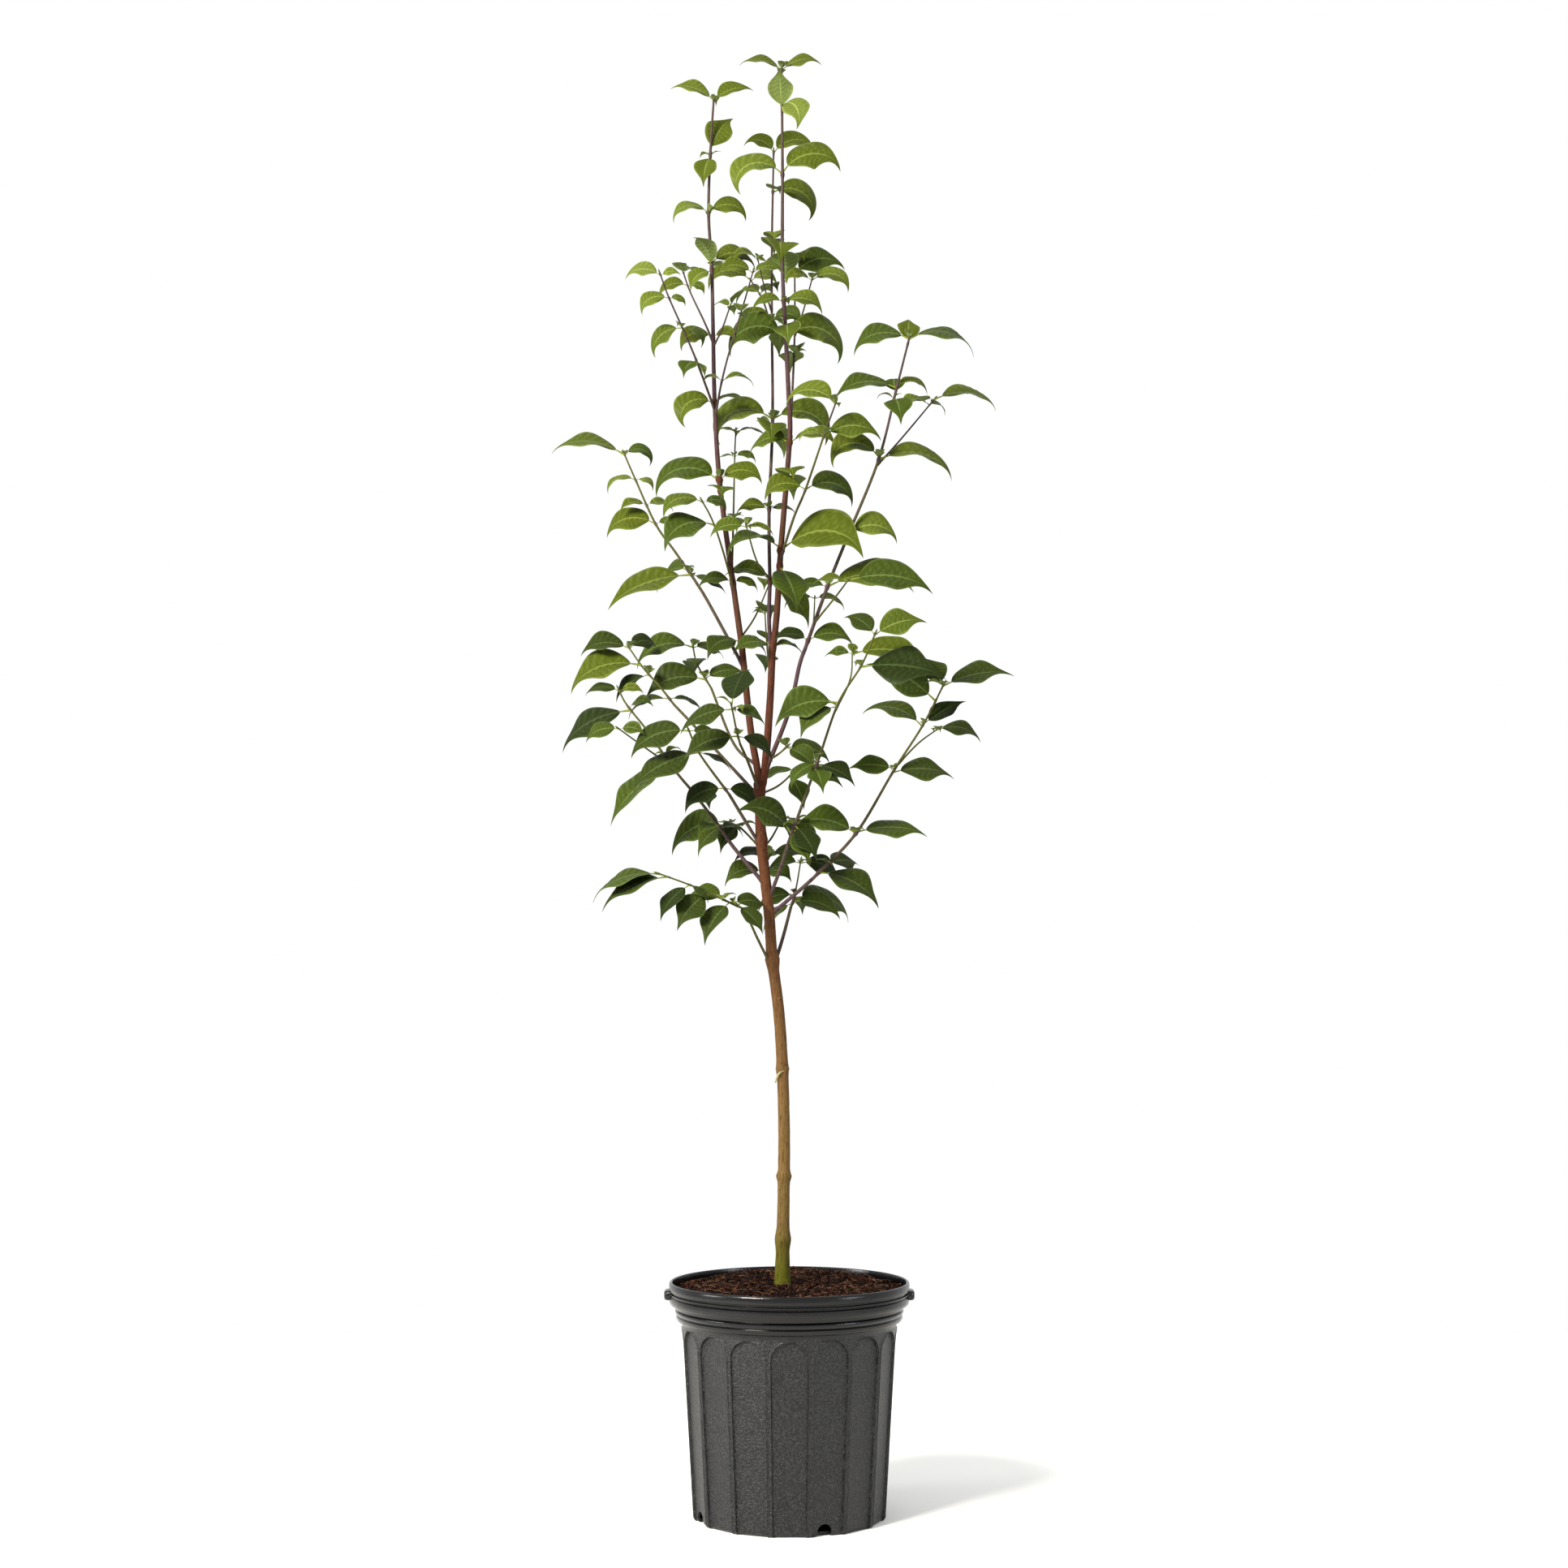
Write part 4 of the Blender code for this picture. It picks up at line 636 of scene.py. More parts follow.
@dataclass
class Tree:
    """The whole plant's growth: every limb's line and every leaf, settled clear of each other."""

    small_share: float = 0.4  # of nodes that carry a pair of new leaves
    small_lengths: tuple = (13.0, 27.0)
    small_turn: float = 25.0  # how far they stray each way from square to the grown pair
    small_lifts: tuple = (35.0, 70.0)
    small_droops: tuple = (60.0, 130.0)
    small_spread: float = 20.0  # of their sweep and roll, each way
    small_folds: tuple = (15.0, 38.0)
    limbs: dict[str, Limb] = field(default_factory=dict)
    leaves: list = field(default_factory=list)  # (mass, shoot, leaf, age)

    def __post_init__(self) -> None:
        """Grows the limbs first, then the leaves of the solids, then the finer ones."""
        trunk = [Vector(p) for p in TRUNK_ROUTE]
        self.limbs["trunk"] = Limb(trunk, TRUNK_GIRTH, TRUNK_FLARE, TRUNK_NODES)
        for shoot in (*BOUGHS, *(s for mass in MASSES.values() for s in mass)):
            self.limbs[shoot.name] = self.limb(shoot)
        crown = Crown(self.limbs)
        for age in LeafAge:
            for mass, shoots in MASSES.items():
                for shoot in shoots:
                    drawn = self.drawn_leaves(shoot, age)
                    settled = (crown.settle(leaf, mass, shoot.name) for leaf in drawn)
                    self.leaves += [(mass, shoot, leaf, age) for leaf in settled if leaf]

    def limb(self, shoot: Shoot) -> Limb:
        """A shoot's line, from its parent's middle or from just past its parent's tip."""
        parent = self.limbs[shoot.parent]
        heading = None
        if shoot.root:
            parent.marks.append(parent.share_at(shoot.root))
            start = parent.point(parent.marks[-1])
        else:
            heading = parent.tip_heading()
            start = parent.point(1.0) + heading * CLEAR
        points = [start, *(Vector(p) for p in shoot.route)]
        if len(points) == 2:
            middle = points[0].lerp(points[1], 0.5)
            middle.z -= BOW * (points[1] - points[0]).length
            points.insert(1, middle)
        limb = Limb(points, shoot.girth, heading=heading)
        limb.joints = [limb.share_at(pair.height) for pair in shoot.pairs]
        limb.marks += limb.joints
        return limb

    def drawn_leaves(self, shoot: Shoot, age: LeafAge) -> Iterator[Leaf]:
        """The leaves of a shoot before they are settled.

        Args:
            shoot: the shoot that they grow on.
            age: GROWN for the leaves that the solids have, YOUNG for the finer ones.

        Yields:
            Each leaf, varied by its own seeded draw.
        """
        limb = self.limbs[shoot.name]
        for number, pair in enumerate(shoot.pairs):
            low, high = CROWN_LOW, CROWN_HIGH
            part = (pair.height - low[0]) / (high[0] - low[0])
            lift, droop = (a + (b - a) * part for a, b in zip(low[1:], high[1:]))
            base = limb.point(min(limb.share_at(pair.height), 1 - ROOT_SINK / limb.length))
            for side, length in enumerate((pair.first, pair.second)):
                if (length >= SMALLEST_LEAF) != (age is LeafAge.GROWN) or not length:
                    continue
                draw = random.Random(f"{shoot.name} {number} {side}")
                bank = pair.bank * math.cos(math.radians(pair.turn + 180 * side))
                yield Leaf(
                    base=base,
                    turn=pair.turn + 180 * side + draw.uniform(-VARY_TURN, VARY_TURN),
                    lift=(pair.lift or lift) + draw.uniform(-VARY_LIFT, VARY_LIFT),
                    droop=(pair.droop or droop) + draw.uniform(-VARY_DROOP, VARY_DROOP),
                    sweep=draw.uniform(-VARY_SWEEP, VARY_SWEEP),
                    roll=bank + draw.uniform(-VARY_ROLL, VARY_ROLL),
                    fold=draw.uniform(*FOLDS),
                    length=length * draw.uniform(*LENGTH_SHARES),
                )
            if age is LeafAge.YOUNG:
                yield from self.new_leaves(shoot, number, pair, base)

    def new_leaves(self, shoot: Shoot, number: int, pair: Pair, base: Vector) -> Iterator[Leaf]:
        """A pair of unfolding leaves in the angle of some nodes, square to the grown pair."""
        draw = random.Random(f"new {shoot.name} {number}")
        if draw.random() > self.small_share:
            return
        stray, spread = self.small_turn, self.small_spread
        for side in (0, 1):
            yield Leaf(
                base=base,
                turn=pair.turn + 90 + 180 * side + draw.uniform(-stray, stray),
                lift=draw.uniform(*self.small_lifts),
                droop=draw.uniform(*self.small_droops),
                sweep=draw.uniform(-spread, spread),
                roll=draw.uniform(-spread, spread),
                fold=draw.uniform(*self.small_folds),
                length=draw.uniform(*self.small_lengths),
            )


# Making meshes and materials

def linear(colour: str) -> tuple[float, float, float, float]:
    """Turns an sRGB hex value to linear red, green, blue and alpha."""
    parts = [int(colour[i:i + 2], 16) / 255 for i in (1, 3, 5)]
    return (*(p / 12.92 if p <= 0.04045 else ((p + 0.055) / 1.055) ** 2.4 for p in parts), 1.0)


def add_node(tree: bpy.types.NodeTree, kind: str, inputs: Union[dict, None] = None,
             **settings: object) -> bpy.types.Node:
    """Adds a node to a material.

    Args:
        tree: the material's node tree.
        kind: the node's type, without its ShaderNode prefix.
        inputs: values or output sockets by the name or number of the input that they go to.
        **settings: the node's own properties.

    Returns:
        The new node.
    """
    node = tree.nodes.new(f"ShaderNode{kind}")
    for key, value in settings.items():
        setattr(node, key, value)
    for key, value in (inputs or {}).items():
        if isinstance(value, bpy.types.NodeSocket):
            tree.links.new(value, node.inputs[key])
        else:
            node.inputs[key].default_value = value
    return node


def ramp_node(tree: bpy.types.NodeTree, factor: bpy.types.NodeSocket,
              stops: Sequence[tuple[float, str]]) -> bpy.types.NodeSocket:
    """Maps a number to colours.

    Args:
        tree: the material's node tree.
        factor: the number from 0 to 1.
        stops: each place from 0 to 1, with its sRGB hex colour.

    Returns:
        The colour's socket.
    """
    node = add_node(tree, "ValToRGB", {"Fac": factor})
    elements = node.color_ramp.elements
    while len(elements) < len(stops):
        elements.new(0.5)
    for element, (place, colour) in zip(elements, stops):
        element.position = place
        element.color = linear(colour)
    return node.outputs["Color"]


def new_material(name: str, roughness: float, ior: float,
                 shine: float = 0.5) -> tuple[bpy.types.Material, bpy.types.Node]:
    """Makes a material with a Principled shader.

    Args:
        name: the real material and how its surface was made.
        roughness: the surface's roughness.
        ior: its index of refraction.
        shine: how much of the mirror reflection is left by dust and fine relief, 0.5 for all of it.

    Returns:
        The material and its shader node.
    """
    made = bpy.data.materials.new(name)
    made.use_nodes = True
    shader = made.node_tree.nodes["Principled BSDF"]
    shader.inputs["Roughness"].default_value = roughness
    shader.inputs["IOR"].default_value = ior
    shader.inputs["Specular IOR Level"].default_value = shine
    return made, shader


def noise_node(tree: bpy.types.NodeTree, place: bpy.types.NodeSocket, size_mm: float, detail: float,
               roughness: float = 0.5) -> bpy.types.NodeSocket:
    """Adds cloudy noise.

    Args:
        tree: the material's node tree.
        place: where the noise is looked up.
        size_mm: the size of its clouds.
        detail: how many finer layers they have.
        roughness: how strong the finer layers are.

    Returns:
        The noise's socket, about 0.5 on average.
    """
    inputs = {"Vector": place, "Scale": 1 / (size_mm * MM), "Detail": detail, "Roughness": roughness}
    return add_node(tree, "TexNoise", inputs).outputs["Fac"]


def mix_node(tree: bpy.types.NodeTree, factor: object, first: object, second: object,
             blend: str = "MIX") -> bpy.types.NodeSocket:
    """Mixes two colours, values or sockets; a factor of 0 leaves the first."""
    inputs = {"Fac": factor, "Color1": first, "Color2": second}
    return add_node(tree, "MixRGB", inputs, blend_type=blend).outputs["Color"]


def math_node(tree: bpy.types.NodeTree, operation: str, first: object,
              second: object) -> bpy.types.NodeSocket:
    """Works out a number from two, values or sockets."""
    return add_node(tree, "Math", {0: first, 1: second}, operation=operation).outputs[0]


def stretch_node(tree: bpy.types.NodeTree, place: bpy.types.NodeSocket, scale: tuple,
                 turn: tuple = (0.0, 0.0, 0.0)) -> bpy.types.NodeSocket:
    """Scales and turns, in radians, the place where a texture is looked up."""
    return add_node(tree, "Mapping", {"Vector": place, "Rotation": turn, "Scale": scale}).outputs["Vector"]


def range_node(tree: bpy.types.NodeTree, value: bpy.types.NodeSocket, given: tuple,
               wanted: tuple) -> bpy.types.NodeSocket:
    """Carries a number from the given range over to the wanted one."""
    inputs = {"Value": value, "From Min": given[0], "From Max": given[1],
              "To Min": wanted[0], "To Max": wanted[1]}
    return add_node(tree, "MapRange", inputs).outputs["Result"]


def cover(tree: bpy.types.NodeTree, shader: bpy.types.Node, colour: bpy.types.NodeSocket,
          height: bpy.types.NodeSocket, bump: tuple) -> None:
    """Gives a shader its colour and its fine relief.

    Args:
        tree: the material's node tree.
        shader: the material's shader.
        colour: the colour's socket.
        height: the relief's socket.
        bump: the relief's strength, and its depth in millimetres.
    """
    relief = add_node(tree, "Bump", {"Height": height, "Strength": bump[0], "Distance": bump[1] * MM})
    tree.links.new(colour, shader.inputs["Base Color"])
    tree.links.new(relief.outputs["Normal"], shader.inputs["Normal"])


@dataclass(frozen=True)
class LeafSurface:
    """A living dogwood leaf's skin: a thin waxy cuticle over soft green tissue.

    It gives the eye a satin green with paler sunken veins, a little uneven from cell to cell; along the
    margin the vein colour is also painted on as a highlight.
    """

    name: str
    blade: str
    # the veins' colour, also used for the painted highlight along the margin
    vein: str
    roughness: float = 0.4
    ior: float = 1.43
    shine: float = 0.05
    vein_strength: float = 0.7
    mottle: tuple = (0.86, 1.14)  # the blade's colour in its darkest and its palest patches
    mottle_mm: float = 9.0
    pore_mm: float = 0.9  # the real skin's grain is 0.05 mm, drawn coarser so that it shows
    detail: float = 2.0
    bump: tuple = (0.12, 0.4)

    def make(self) -> bpy.types.Material:
        """Builds the material."""
        made, shader = new_material(self.name, self.roughness, self.ior, self.shine)
        tree = made.node_tree
        place = add_node(tree, "TexCoord").outputs["Object"]
        cloud = noise_node(tree, place, self.mottle_mm, self.detail)
        mottled = mix_node(tree, cloud, *(self.shade(amount) for amount in self.mottle))
        # The tone brings in the vein colour, and along the margin a painted rim highlight
        rib = add_node(tree, "Attribute", attribute_name="tone").outputs["Fac"]
        strength = math_node(tree, "MULTIPLY", rib, self.vein_strength)
        veins_and_painted_rim = mix_node(tree, strength, mottled, linear(self.vein))
        grain = noise_node(tree, place, self.pore_mm, self.detail)
        cover(tree, shader, veins_and_painted_rim, grain, self.bump)
        return made

    def shade(self, amount: float) -> tuple[float, float, float, float]:
        """The blade's colour, darker or lighter by an amount."""
        return (*(min(1.0, c * amount) for c in linear(self.blade)[:3]), 1.0)


class Tint(Enum):
    """The leaf surfaces that are dealt out by height and by seeded draw; the sunlit, shaded and deep ones
    are paler and darker copies of the blade that paint light and shade into the crown.
    """

    YOUNG = LeafSurface("leaf_young_waxy", "#4f5a22", "#8b9858")
    # Painted sunlight: a paler copy of the blade for leaves high in the crown, where the light falls
    SUNLIT = LeafSurface("leaf_sunlit_waxy", "#444f16", "#7c8848")
    OLIVE = LeafSurface("leaf_olive_waxy", "#3a430f", "#6d7838")
    FRESH = LeafSurface("leaf_fresh_waxy", "#384310", "#6c7a40")
    FULL = LeafSurface("leaf_full_waxy", "#2d380e", "#5a6a38")
    # Painted shade: darker copies of the blade for leaves low and deep in the crown
    SHADED = LeafSurface("leaf_shaded_waxy", "#252e0d", "#4c5a32")
    DEEP = LeafSurface("leaf_deep_waxy", "#1b230b", "#3d4a2a")
    UNDERSIDE = LeafSurface("leaf_underside_downy", "#4e5a2c", "#77844e", roughness=0.62)
    # Painted shade: a darker copy of the underside for leaves low in the crown
    SHADED_UNDERSIDE = LeafSurface("leaf_shaded_underside_downy", "#2f3a1e", "#4e5c36", roughness=0.62)
    STALK = LeafSurface("leaf_stalk_smooth", "#5d6722", "#7a823c", roughness=0.5)

    @property
    def slot(self) -> int:
        """The tint's place in a foliage piece's list of materials."""
        return list(Tint).index(self)


@dataclass(frozen=True)
class Bark:
    """Dogwood bark: thin and smooth, olive at the foot, then tan, then red-brown on young wood.

    It gives the eye a dull skin with fine lengthwise cracks and small pale breathing pores.
    """

    name: str = "dogwood_bark_smooth"
    stops: tuple = (
        (0.0, "#46480c"), (0.03, "#50491a"), (0.05, "#5d4c29"), (0.12, "#604b2a"), (0.32, "#50341f"),
        (0.45, "#472517"), (0.6, "#432c20"), (0.75, "#43343a"), (0.88, "#45461f"), (1.0, "#535e24"),
    )
    roughness: float = 0.62
    ior: float = 1.5
    shine: float = 0.06
    crack_mm: float = 1.6
    crack_squeeze: float = 0.14  # below 1, so that the cracks run along the stem
    crack_detail: tuple = (5.0, 0.7)
    crack_shades: tuple = ((0.3, "#6b6058"), (0.46, "#e8e2dc"), (0.62, "#ffffff"))
    pore: str = "#806848"
    pore_mm: float = 2.2
    pore_squeeze: float = 0.55
    pore_edge: tuple = ((0.0, "#9a9a9a"), (0.13, "#606060"), (0.18, "#000000"))
    bump: tuple = (0.5, 0.5)

    def make(self) -> bpy.types.Material:
        """Builds the material."""
        made, shader = new_material(self.name, self.roughness, self.ior, self.shine)
        tree = made.node_tree
        place = add_node(tree, "TexCoord").outputs["Object"]
        age = add_node(tree, "Attribute", attribute_name="tone").outputs["Fac"]
        skin = ramp_node(tree, age, self.stops)
        lengthwise = stretch_node(tree, place, (1.0, 1.0, self.crack_squeeze))
        crack = noise_node(tree, lengthwise, self.crack_mm, *self.crack_detail)
        shadow = ramp_node(tree, crack, self.crack_shades)
        streaked = mix_node(tree, 1.0, skin, shadow, "MULTIPLY")
        squeezed = stretch_node(tree, place, (1.0, 1.0, self.pore_squeeze))
        cells = add_node(tree, "TexVoronoi", {"Vector": squeezed, "Scale": 1 / (self.pore_mm * MM)})
        spot = ramp_node(tree, cells.outputs["Distance"], self.pore_edge)
        dotted = mix_node(tree, spot, streaked, linear(self.pore))
        cover(tree, shader, dotted, math_node(tree, "ADD", crack, spot), self.bump)
        return made


@dataclass(frozen=True)
class MouldedPlastic:
    """Blow-moulded black polyethylene, a nursery pot's usual plastic.

    It gives the eye a dark satin grey with a sandy grain on the wall, a smoother and glossier
    rim, faint dust and pale scuffs.
    """

    name: str = "polyethylene_moulded"
    colour: str = "#020203"
    pebble: str = "#252526"
    dust: str = "#111110"
    scuff: str = "#3a3a3b"
    roughness: float = 0.3
    ior: float = 1.51
    shine: float = 0.29
    grain_mm: float = 2.0
    grain_detail: float = 3.0
    grain_edge: tuple = (0.46, 0.6)  # noise between which a pebble's colour comes in
    cloud_mm: float = 45.0
    cloud_detail: tuple = (6.0, 0.65)
    film: tuple = ((0.42, "#000000"), (0.75, "#9a9a9a"))
    rim_mm: tuple = (221.0, 229.0)  # heights between which the grain fades out towards the rim
    rim_grain: float = 0.1  # how much of it the rim keeps
    scratch_scale: float = 240.0  # scratches in a metre
    scratch_detail: float = 2.0
    scratch_stretch: tuple = (1.0, 0.05, 1.0)
    scratch_turn: tuple = (0.5, 0.3, 0.9)
    scratch_edge: tuple = ((0.7, "#000000"), (0.78, "#707070"))
    wear: tuple = (0.16, 0.24)  # roughness of the rim, where it is clean and where it is dusty
    sandiness: float = 0.1  # what the wall's grain adds to it
    bump: tuple = (1.0, 1.4)

    def make(self) -> bpy.types.Material:
        """Builds the material."""
        made, shader = new_material(self.name, self.roughness, self.ior, self.shine)
        tree = made.node_tree
        place = add_node(tree, "TexCoord").outputs["Object"]
        cloud = noise_node(tree, place, self.cloud_mm, *self.cloud_detail)
        grain = noise_node(tree, place, self.grain_mm, self.grain_detail)
        height = add_node(tree, "SeparateXYZ", {"Vector": place}).outputs["Z"]
        edge = tuple(level * MM for level in self.rim_mm)
        wall = range_node(tree, height, edge, (1.0, self.rim_grain))
        pebbles = math_node(tree, "MULTIPLY", grain, wall)
        pebbled = ramp_node(tree, pebbles, tuple(zip(self.grain_edge, (self.colour, self.pebble))))
        dusty = mix_node(tree, ramp_node(tree, cloud, self.film), pebbled, linear(self.dust))
        stretched = stretch_node(tree, place, self.scratch_stretch, self.scratch_turn)
        scratch = add_node(tree, "TexNoise", {"Vector": stretched, "Scale": self.scratch_scale,
                                              "Detail": self.scratch_detail}).outputs["Fac"]
        scuffs = ramp_node(tree, scratch, self.scratch_edge)
        scuffed = mix_node(tree, scuffs, dusty, linear(self.scuff))
        worn = range_node(tree, cloud, (0.0, 1.0), self.wear)
        sandy = math_node(tree, "MULTIPLY", wall, self.sandiness)
        tree.links.new(math_node(tree, "ADD", worn, sandy), shader.inputs["Roughness"])
        cover(tree, shader, scuffed, pebbles, self.bump)
        return made


@dataclass(frozen=True)
class Crumb:
    """A dry or damp plant scrap: composted bark, chipped wood, coconut fibre or a dead leaf stalk.

    It gives the eye a dull, broken brown, paler where its fresh side shows.
    """

    name: str
    colour: str
    fresh: str
    roughness: float = 0.88
    ior: float = 1.45
    shine: float = 0.05
    fleck_mm: float = 2.5
    fleck_detail: tuple = (5.0, 0.7)
    fleck_edge: tuple = (0.35, 0.72)  # noise between which the fresh side comes in
    bump: tuple = (0.6, 0.8)

    def make(self) -> bpy.types.Material:
        """Builds the material."""
        made, shader = new_material(self.name, self.roughness, self.ior, self.shine)
        tree = made.node_tree
        place = add_node(tree, "TexCoord").outputs["Object"]
        fleck = noise_node(tree, place, self.fleck_mm, *self.fleck_detail)
        colour = ramp_node(tree, fleck, tuple(zip(self.fleck_edge, (self.colour, self.fresh))))
        cover(tree, shader, colour, fleck, self.bump)
        return made


class Grain(Enum):
    """What the bed is made of."""

    COMPOST = Crumb("compost_damp", "#080402", "#180c08")
    BARK = Crumb("pine_bark_chipped", "#200f0b", "#40261e")
    DARK_BARK = Crumb("pine_bark_weathered", "#0c0604", "#20120e")
    WOOD = Crumb("wood_splintered", "#372217", "#533a29")
    FIBRE = Crumb("coconut_fibre_dry", "#5a3d28", "#83664a", roughness=0.8)

    @property
    def slot(self) -> int:
        """The grain's place in the bed's list of materials."""
        return list(Grain).index(self)


@dataclass
class Batch:
    """The corners and faces of many small closed shapes that are joined into one piece."""

    CREASE = 50.0  # angle from which an edge stays sharp

    name: str
    points: list = field(default_factory=list)
    faces: list = field(default_factory=list)
    slots: list = field(default_factory=list)
    tones: list = field(default_factory=list)

    def add(self, points: Sequence[Vector], faces: Sequence[tuple], slot: Union[int, Sequence[int]],
            tones: Union[float, Sequence[float]] = 0.0) -> None:
        """Adds a shape.

        Args:
            points: its corners, in millimetres.
            faces: the corners' numbers, face by face.
            slot: the material's number, for all faces or one for each.
            tones: the tone, for all corners or one for each.
        """
        start = len(self.points)
        self.points += [p * MM for p in points]
        self.faces += [tuple(start + i for i in face) for face in faces]
        self.slots += [slot] * len(faces) if isinstance(slot, int) else list(slot)
        self.tones += [tones] * len(points) if isinstance(tones, float) else list(tones)

    def add_loft(self, rings: Sequence[Sequence[Vector]], slot: int,
                 tones: Union[float, Sequence[float]] = 0.0) -> None:
        """Adds a closed shape over rings, with one material and one tone or one for each corner."""
        points, faces = lofted(rings)
        self.add(points, faces, slot, tones)

    def build(self, materials: Sequence[bpy.types.Material], replaced: Sequence[str],
              slot: str) -> bpy.types.Object:
        """Makes the joined piece, smooth, riding on the body.

        Args:
            materials: the piece's materials, in the order of their numbers.
            replaced: the solid nodes that it stands for.
            slot: the record's material slot; not used.

        Returns:
            The piece.
        """
        mesh = bpy.data.meshes.new(self.name)
        mesh.from_pydata(self.points, [], self.faces)
        for made in materials:
            mesh.materials.append(made)
        mesh.polygons.foreach_set("material_index", self.slots)
        tone = mesh.attributes.new("tone", "FLOAT", "POINT")
        tone.data.foreach_set("value", self.tones)
        mesh.shade_smooth()
        mesh.set_sharp_from_angle(angle=math.radians(self.CREASE))
        piece = bpy.data.objects.new(self.name, mesh)
        return settle_piece(piece, replaced)


def settle_piece(piece: bpy.types.Object, replaced: Sequence[str]) -> bpy.types.Object:
    """Puts a piece into the scene, on its body and in place of its solids.

    Args:
        piece: the piece.
        replaced: the solid nodes that it stands for.

    Returns:
        The piece.
    """
    if not piece.users_collection:
        bpy.context.scene.collection.objects.link(piece)
    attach(piece, BODY)
    if replaced:
        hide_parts(*replaced)
    log.info("%s: %d faces", piece.name, len(piece.data.polygons))
    return piece


# The plant

@dataclass
class Foliage:
    """Every leaf of the crown, in joined pieces by spray."""

    # a new leaf's tints, one of them the paler painted-sunlight copy
    NEW_TINTS = (Tint.SUNLIT, Tint.FRESH)
    BANDS = (  # heights above which the upper faces take these tints, paler copies high in the crown and darker ones low in it as painted light and shade
        (1500, (Tint.SUNLIT, Tint.OLIVE, Tint.YOUNG, Tint.OLIVE)),
        (1200, (Tint.FRESH, Tint.SUNLIT, Tint.OLIVE, Tint.FULL, Tint.OLIVE)),
        (980, (Tint.FRESH, Tint.FULL, Tint.SHADED, Tint.OLIVE, Tint.FULL)),
        (-math.inf, (Tint.FULL, Tint.SHADED, Tint.DEEP, Tint.SHADED, Tint.FULL)),
    )

    tree: Tree
    pieces: int = 6
    rows: int = 50
    columns: tuple = (0.0, 0.03, 0.075, 0.22, 0.42, 0.62, 0.82, 1.0)  # shares of the half width
    small_rows: int = 16
    small_columns: tuple = (0.0, 0.12, 0.5, 1.0)
    fine: int = 3  # steps of the drawn middle line for each of the solid leaf's
    tint_blur: float = 90.0  # how far a leaf's height strays, each way, for its tint
    new_length: float = 30.0  # below which an added leaf has a new leaf's tint
    painted_shade_height: float = 1150.0  # below which the undersides take the painted-shade tint
    thickness: float = 0.45
    thinning: float = 0.6  # how much thinner the margin is
    least_half: float = 0.25  # the tip's half width
    rib_depth: float = 0.55  # how far the midrib stands out under the blade
    small_rib: float = 0.5  # a small leaf's share of that
    rib_width: float = 0.03  # of the midrib below and, next, its pale line above
    midrib_width: float = 0.04
    veins: int = 6
    vein_start: float = 0.06
    vein_pitch: float = 0.105
    vein_slant: float = 0.34
    vein_bow: float = 1.4  # above 1, so that the veins curve towards the tip
    vein_tone: float = 0.6  # a side vein's strength beside the midrib's
    quilt: float = 0.11  # depth of the sunken veins, as a share of the half width
    edge_curl: float = 0.2  # how far the margin bends down, the same
    wave: float = 0.1  # height of the margin's waves, the same
    waves: float = 1.4  # how many there are
    wave_lag: float = 1.7  # radians between the waves of the blade's two halves
    taper: float = 0.62  # how much of its width the drawn-out tip loses
    taper_start: float = 0.45  # where along the blade that starts, and over how much of it
    taper_span: float = 0.45
    margin: float = 0.99  # where across the blade its painted rim highlight starts
    # strength of the painted highlight along the margin, in the vein colour
    painted_rim_highlight: float = 0.55
    hook: float = 0.035  # drop of the tip's hook, as a share of the leaf's length
    hook_start: float = 0.75
    stalk_radius: float = 0.75
    small_stalk: float = 0.55  # a small leaf's share of that
    stalk_end: float = 0.2  # share of the leaf's length at which the stalk ends
    stalk_tone: float = 0.3

    def build(self) -> list[bpy.types.Object]:
        """Grows the leaves of each spray and joins them.

        Returns:
            The foliage pieces.
        """
        count = {name: sum(1 for leaf in self.tree.leaves if leaf[0] == name) for name in MASSES}
        goal = sum(count.values()) / self.pieces
        groups: list[list[str]] = [[]]
        held = 0
        for name in MASSES:
            if held >= goal and len(groups) < self.pieces:
                groups.append([])
                held = 0
            groups[-1].append(name)
            held += count[name]
        materials = [tint.value.make() for tint in Tint]
        made = []
        for number, group in enumerate(groups):
            batch = Batch(f"leaves_{number + 1}")
            for mass, shoot, leaf, age in self.tree.leaves:
                if mass in group:
                    self.add_leaf(batch, shoot, leaf, age)
            made.append(batch.build(materials, group, "foliage"))
        return made

    def tints(self, shoot: Shoot, leaf: Leaf, age: LeafAge) -> tuple[Tint, Tint]:
        """The tints of a leaf's two faces, by its height and its own seeded draw; low leaves take darker
        copies as painted shade.
        """
        draw = random.Random(f"tint {shoot.name} {round(leaf.base.z)} {round(leaf.turn)}")
        height = leaf.base.z + draw.uniform(-self.tint_blur, self.tint_blur)
        if age is LeafAge.YOUNG and leaf.length < self.new_length:
            return draw.choice(self.NEW_TINTS), Tint.UNDERSIDE
        top = draw.choice(next(tints for low, tints in self.BANDS if height > low))
        # Undersides low in the crown take the darker copy, a painted shade
        return top, Tint.UNDERSIDE if height > self.painted_shade_height else Tint.SHADED_UNDERSIDE

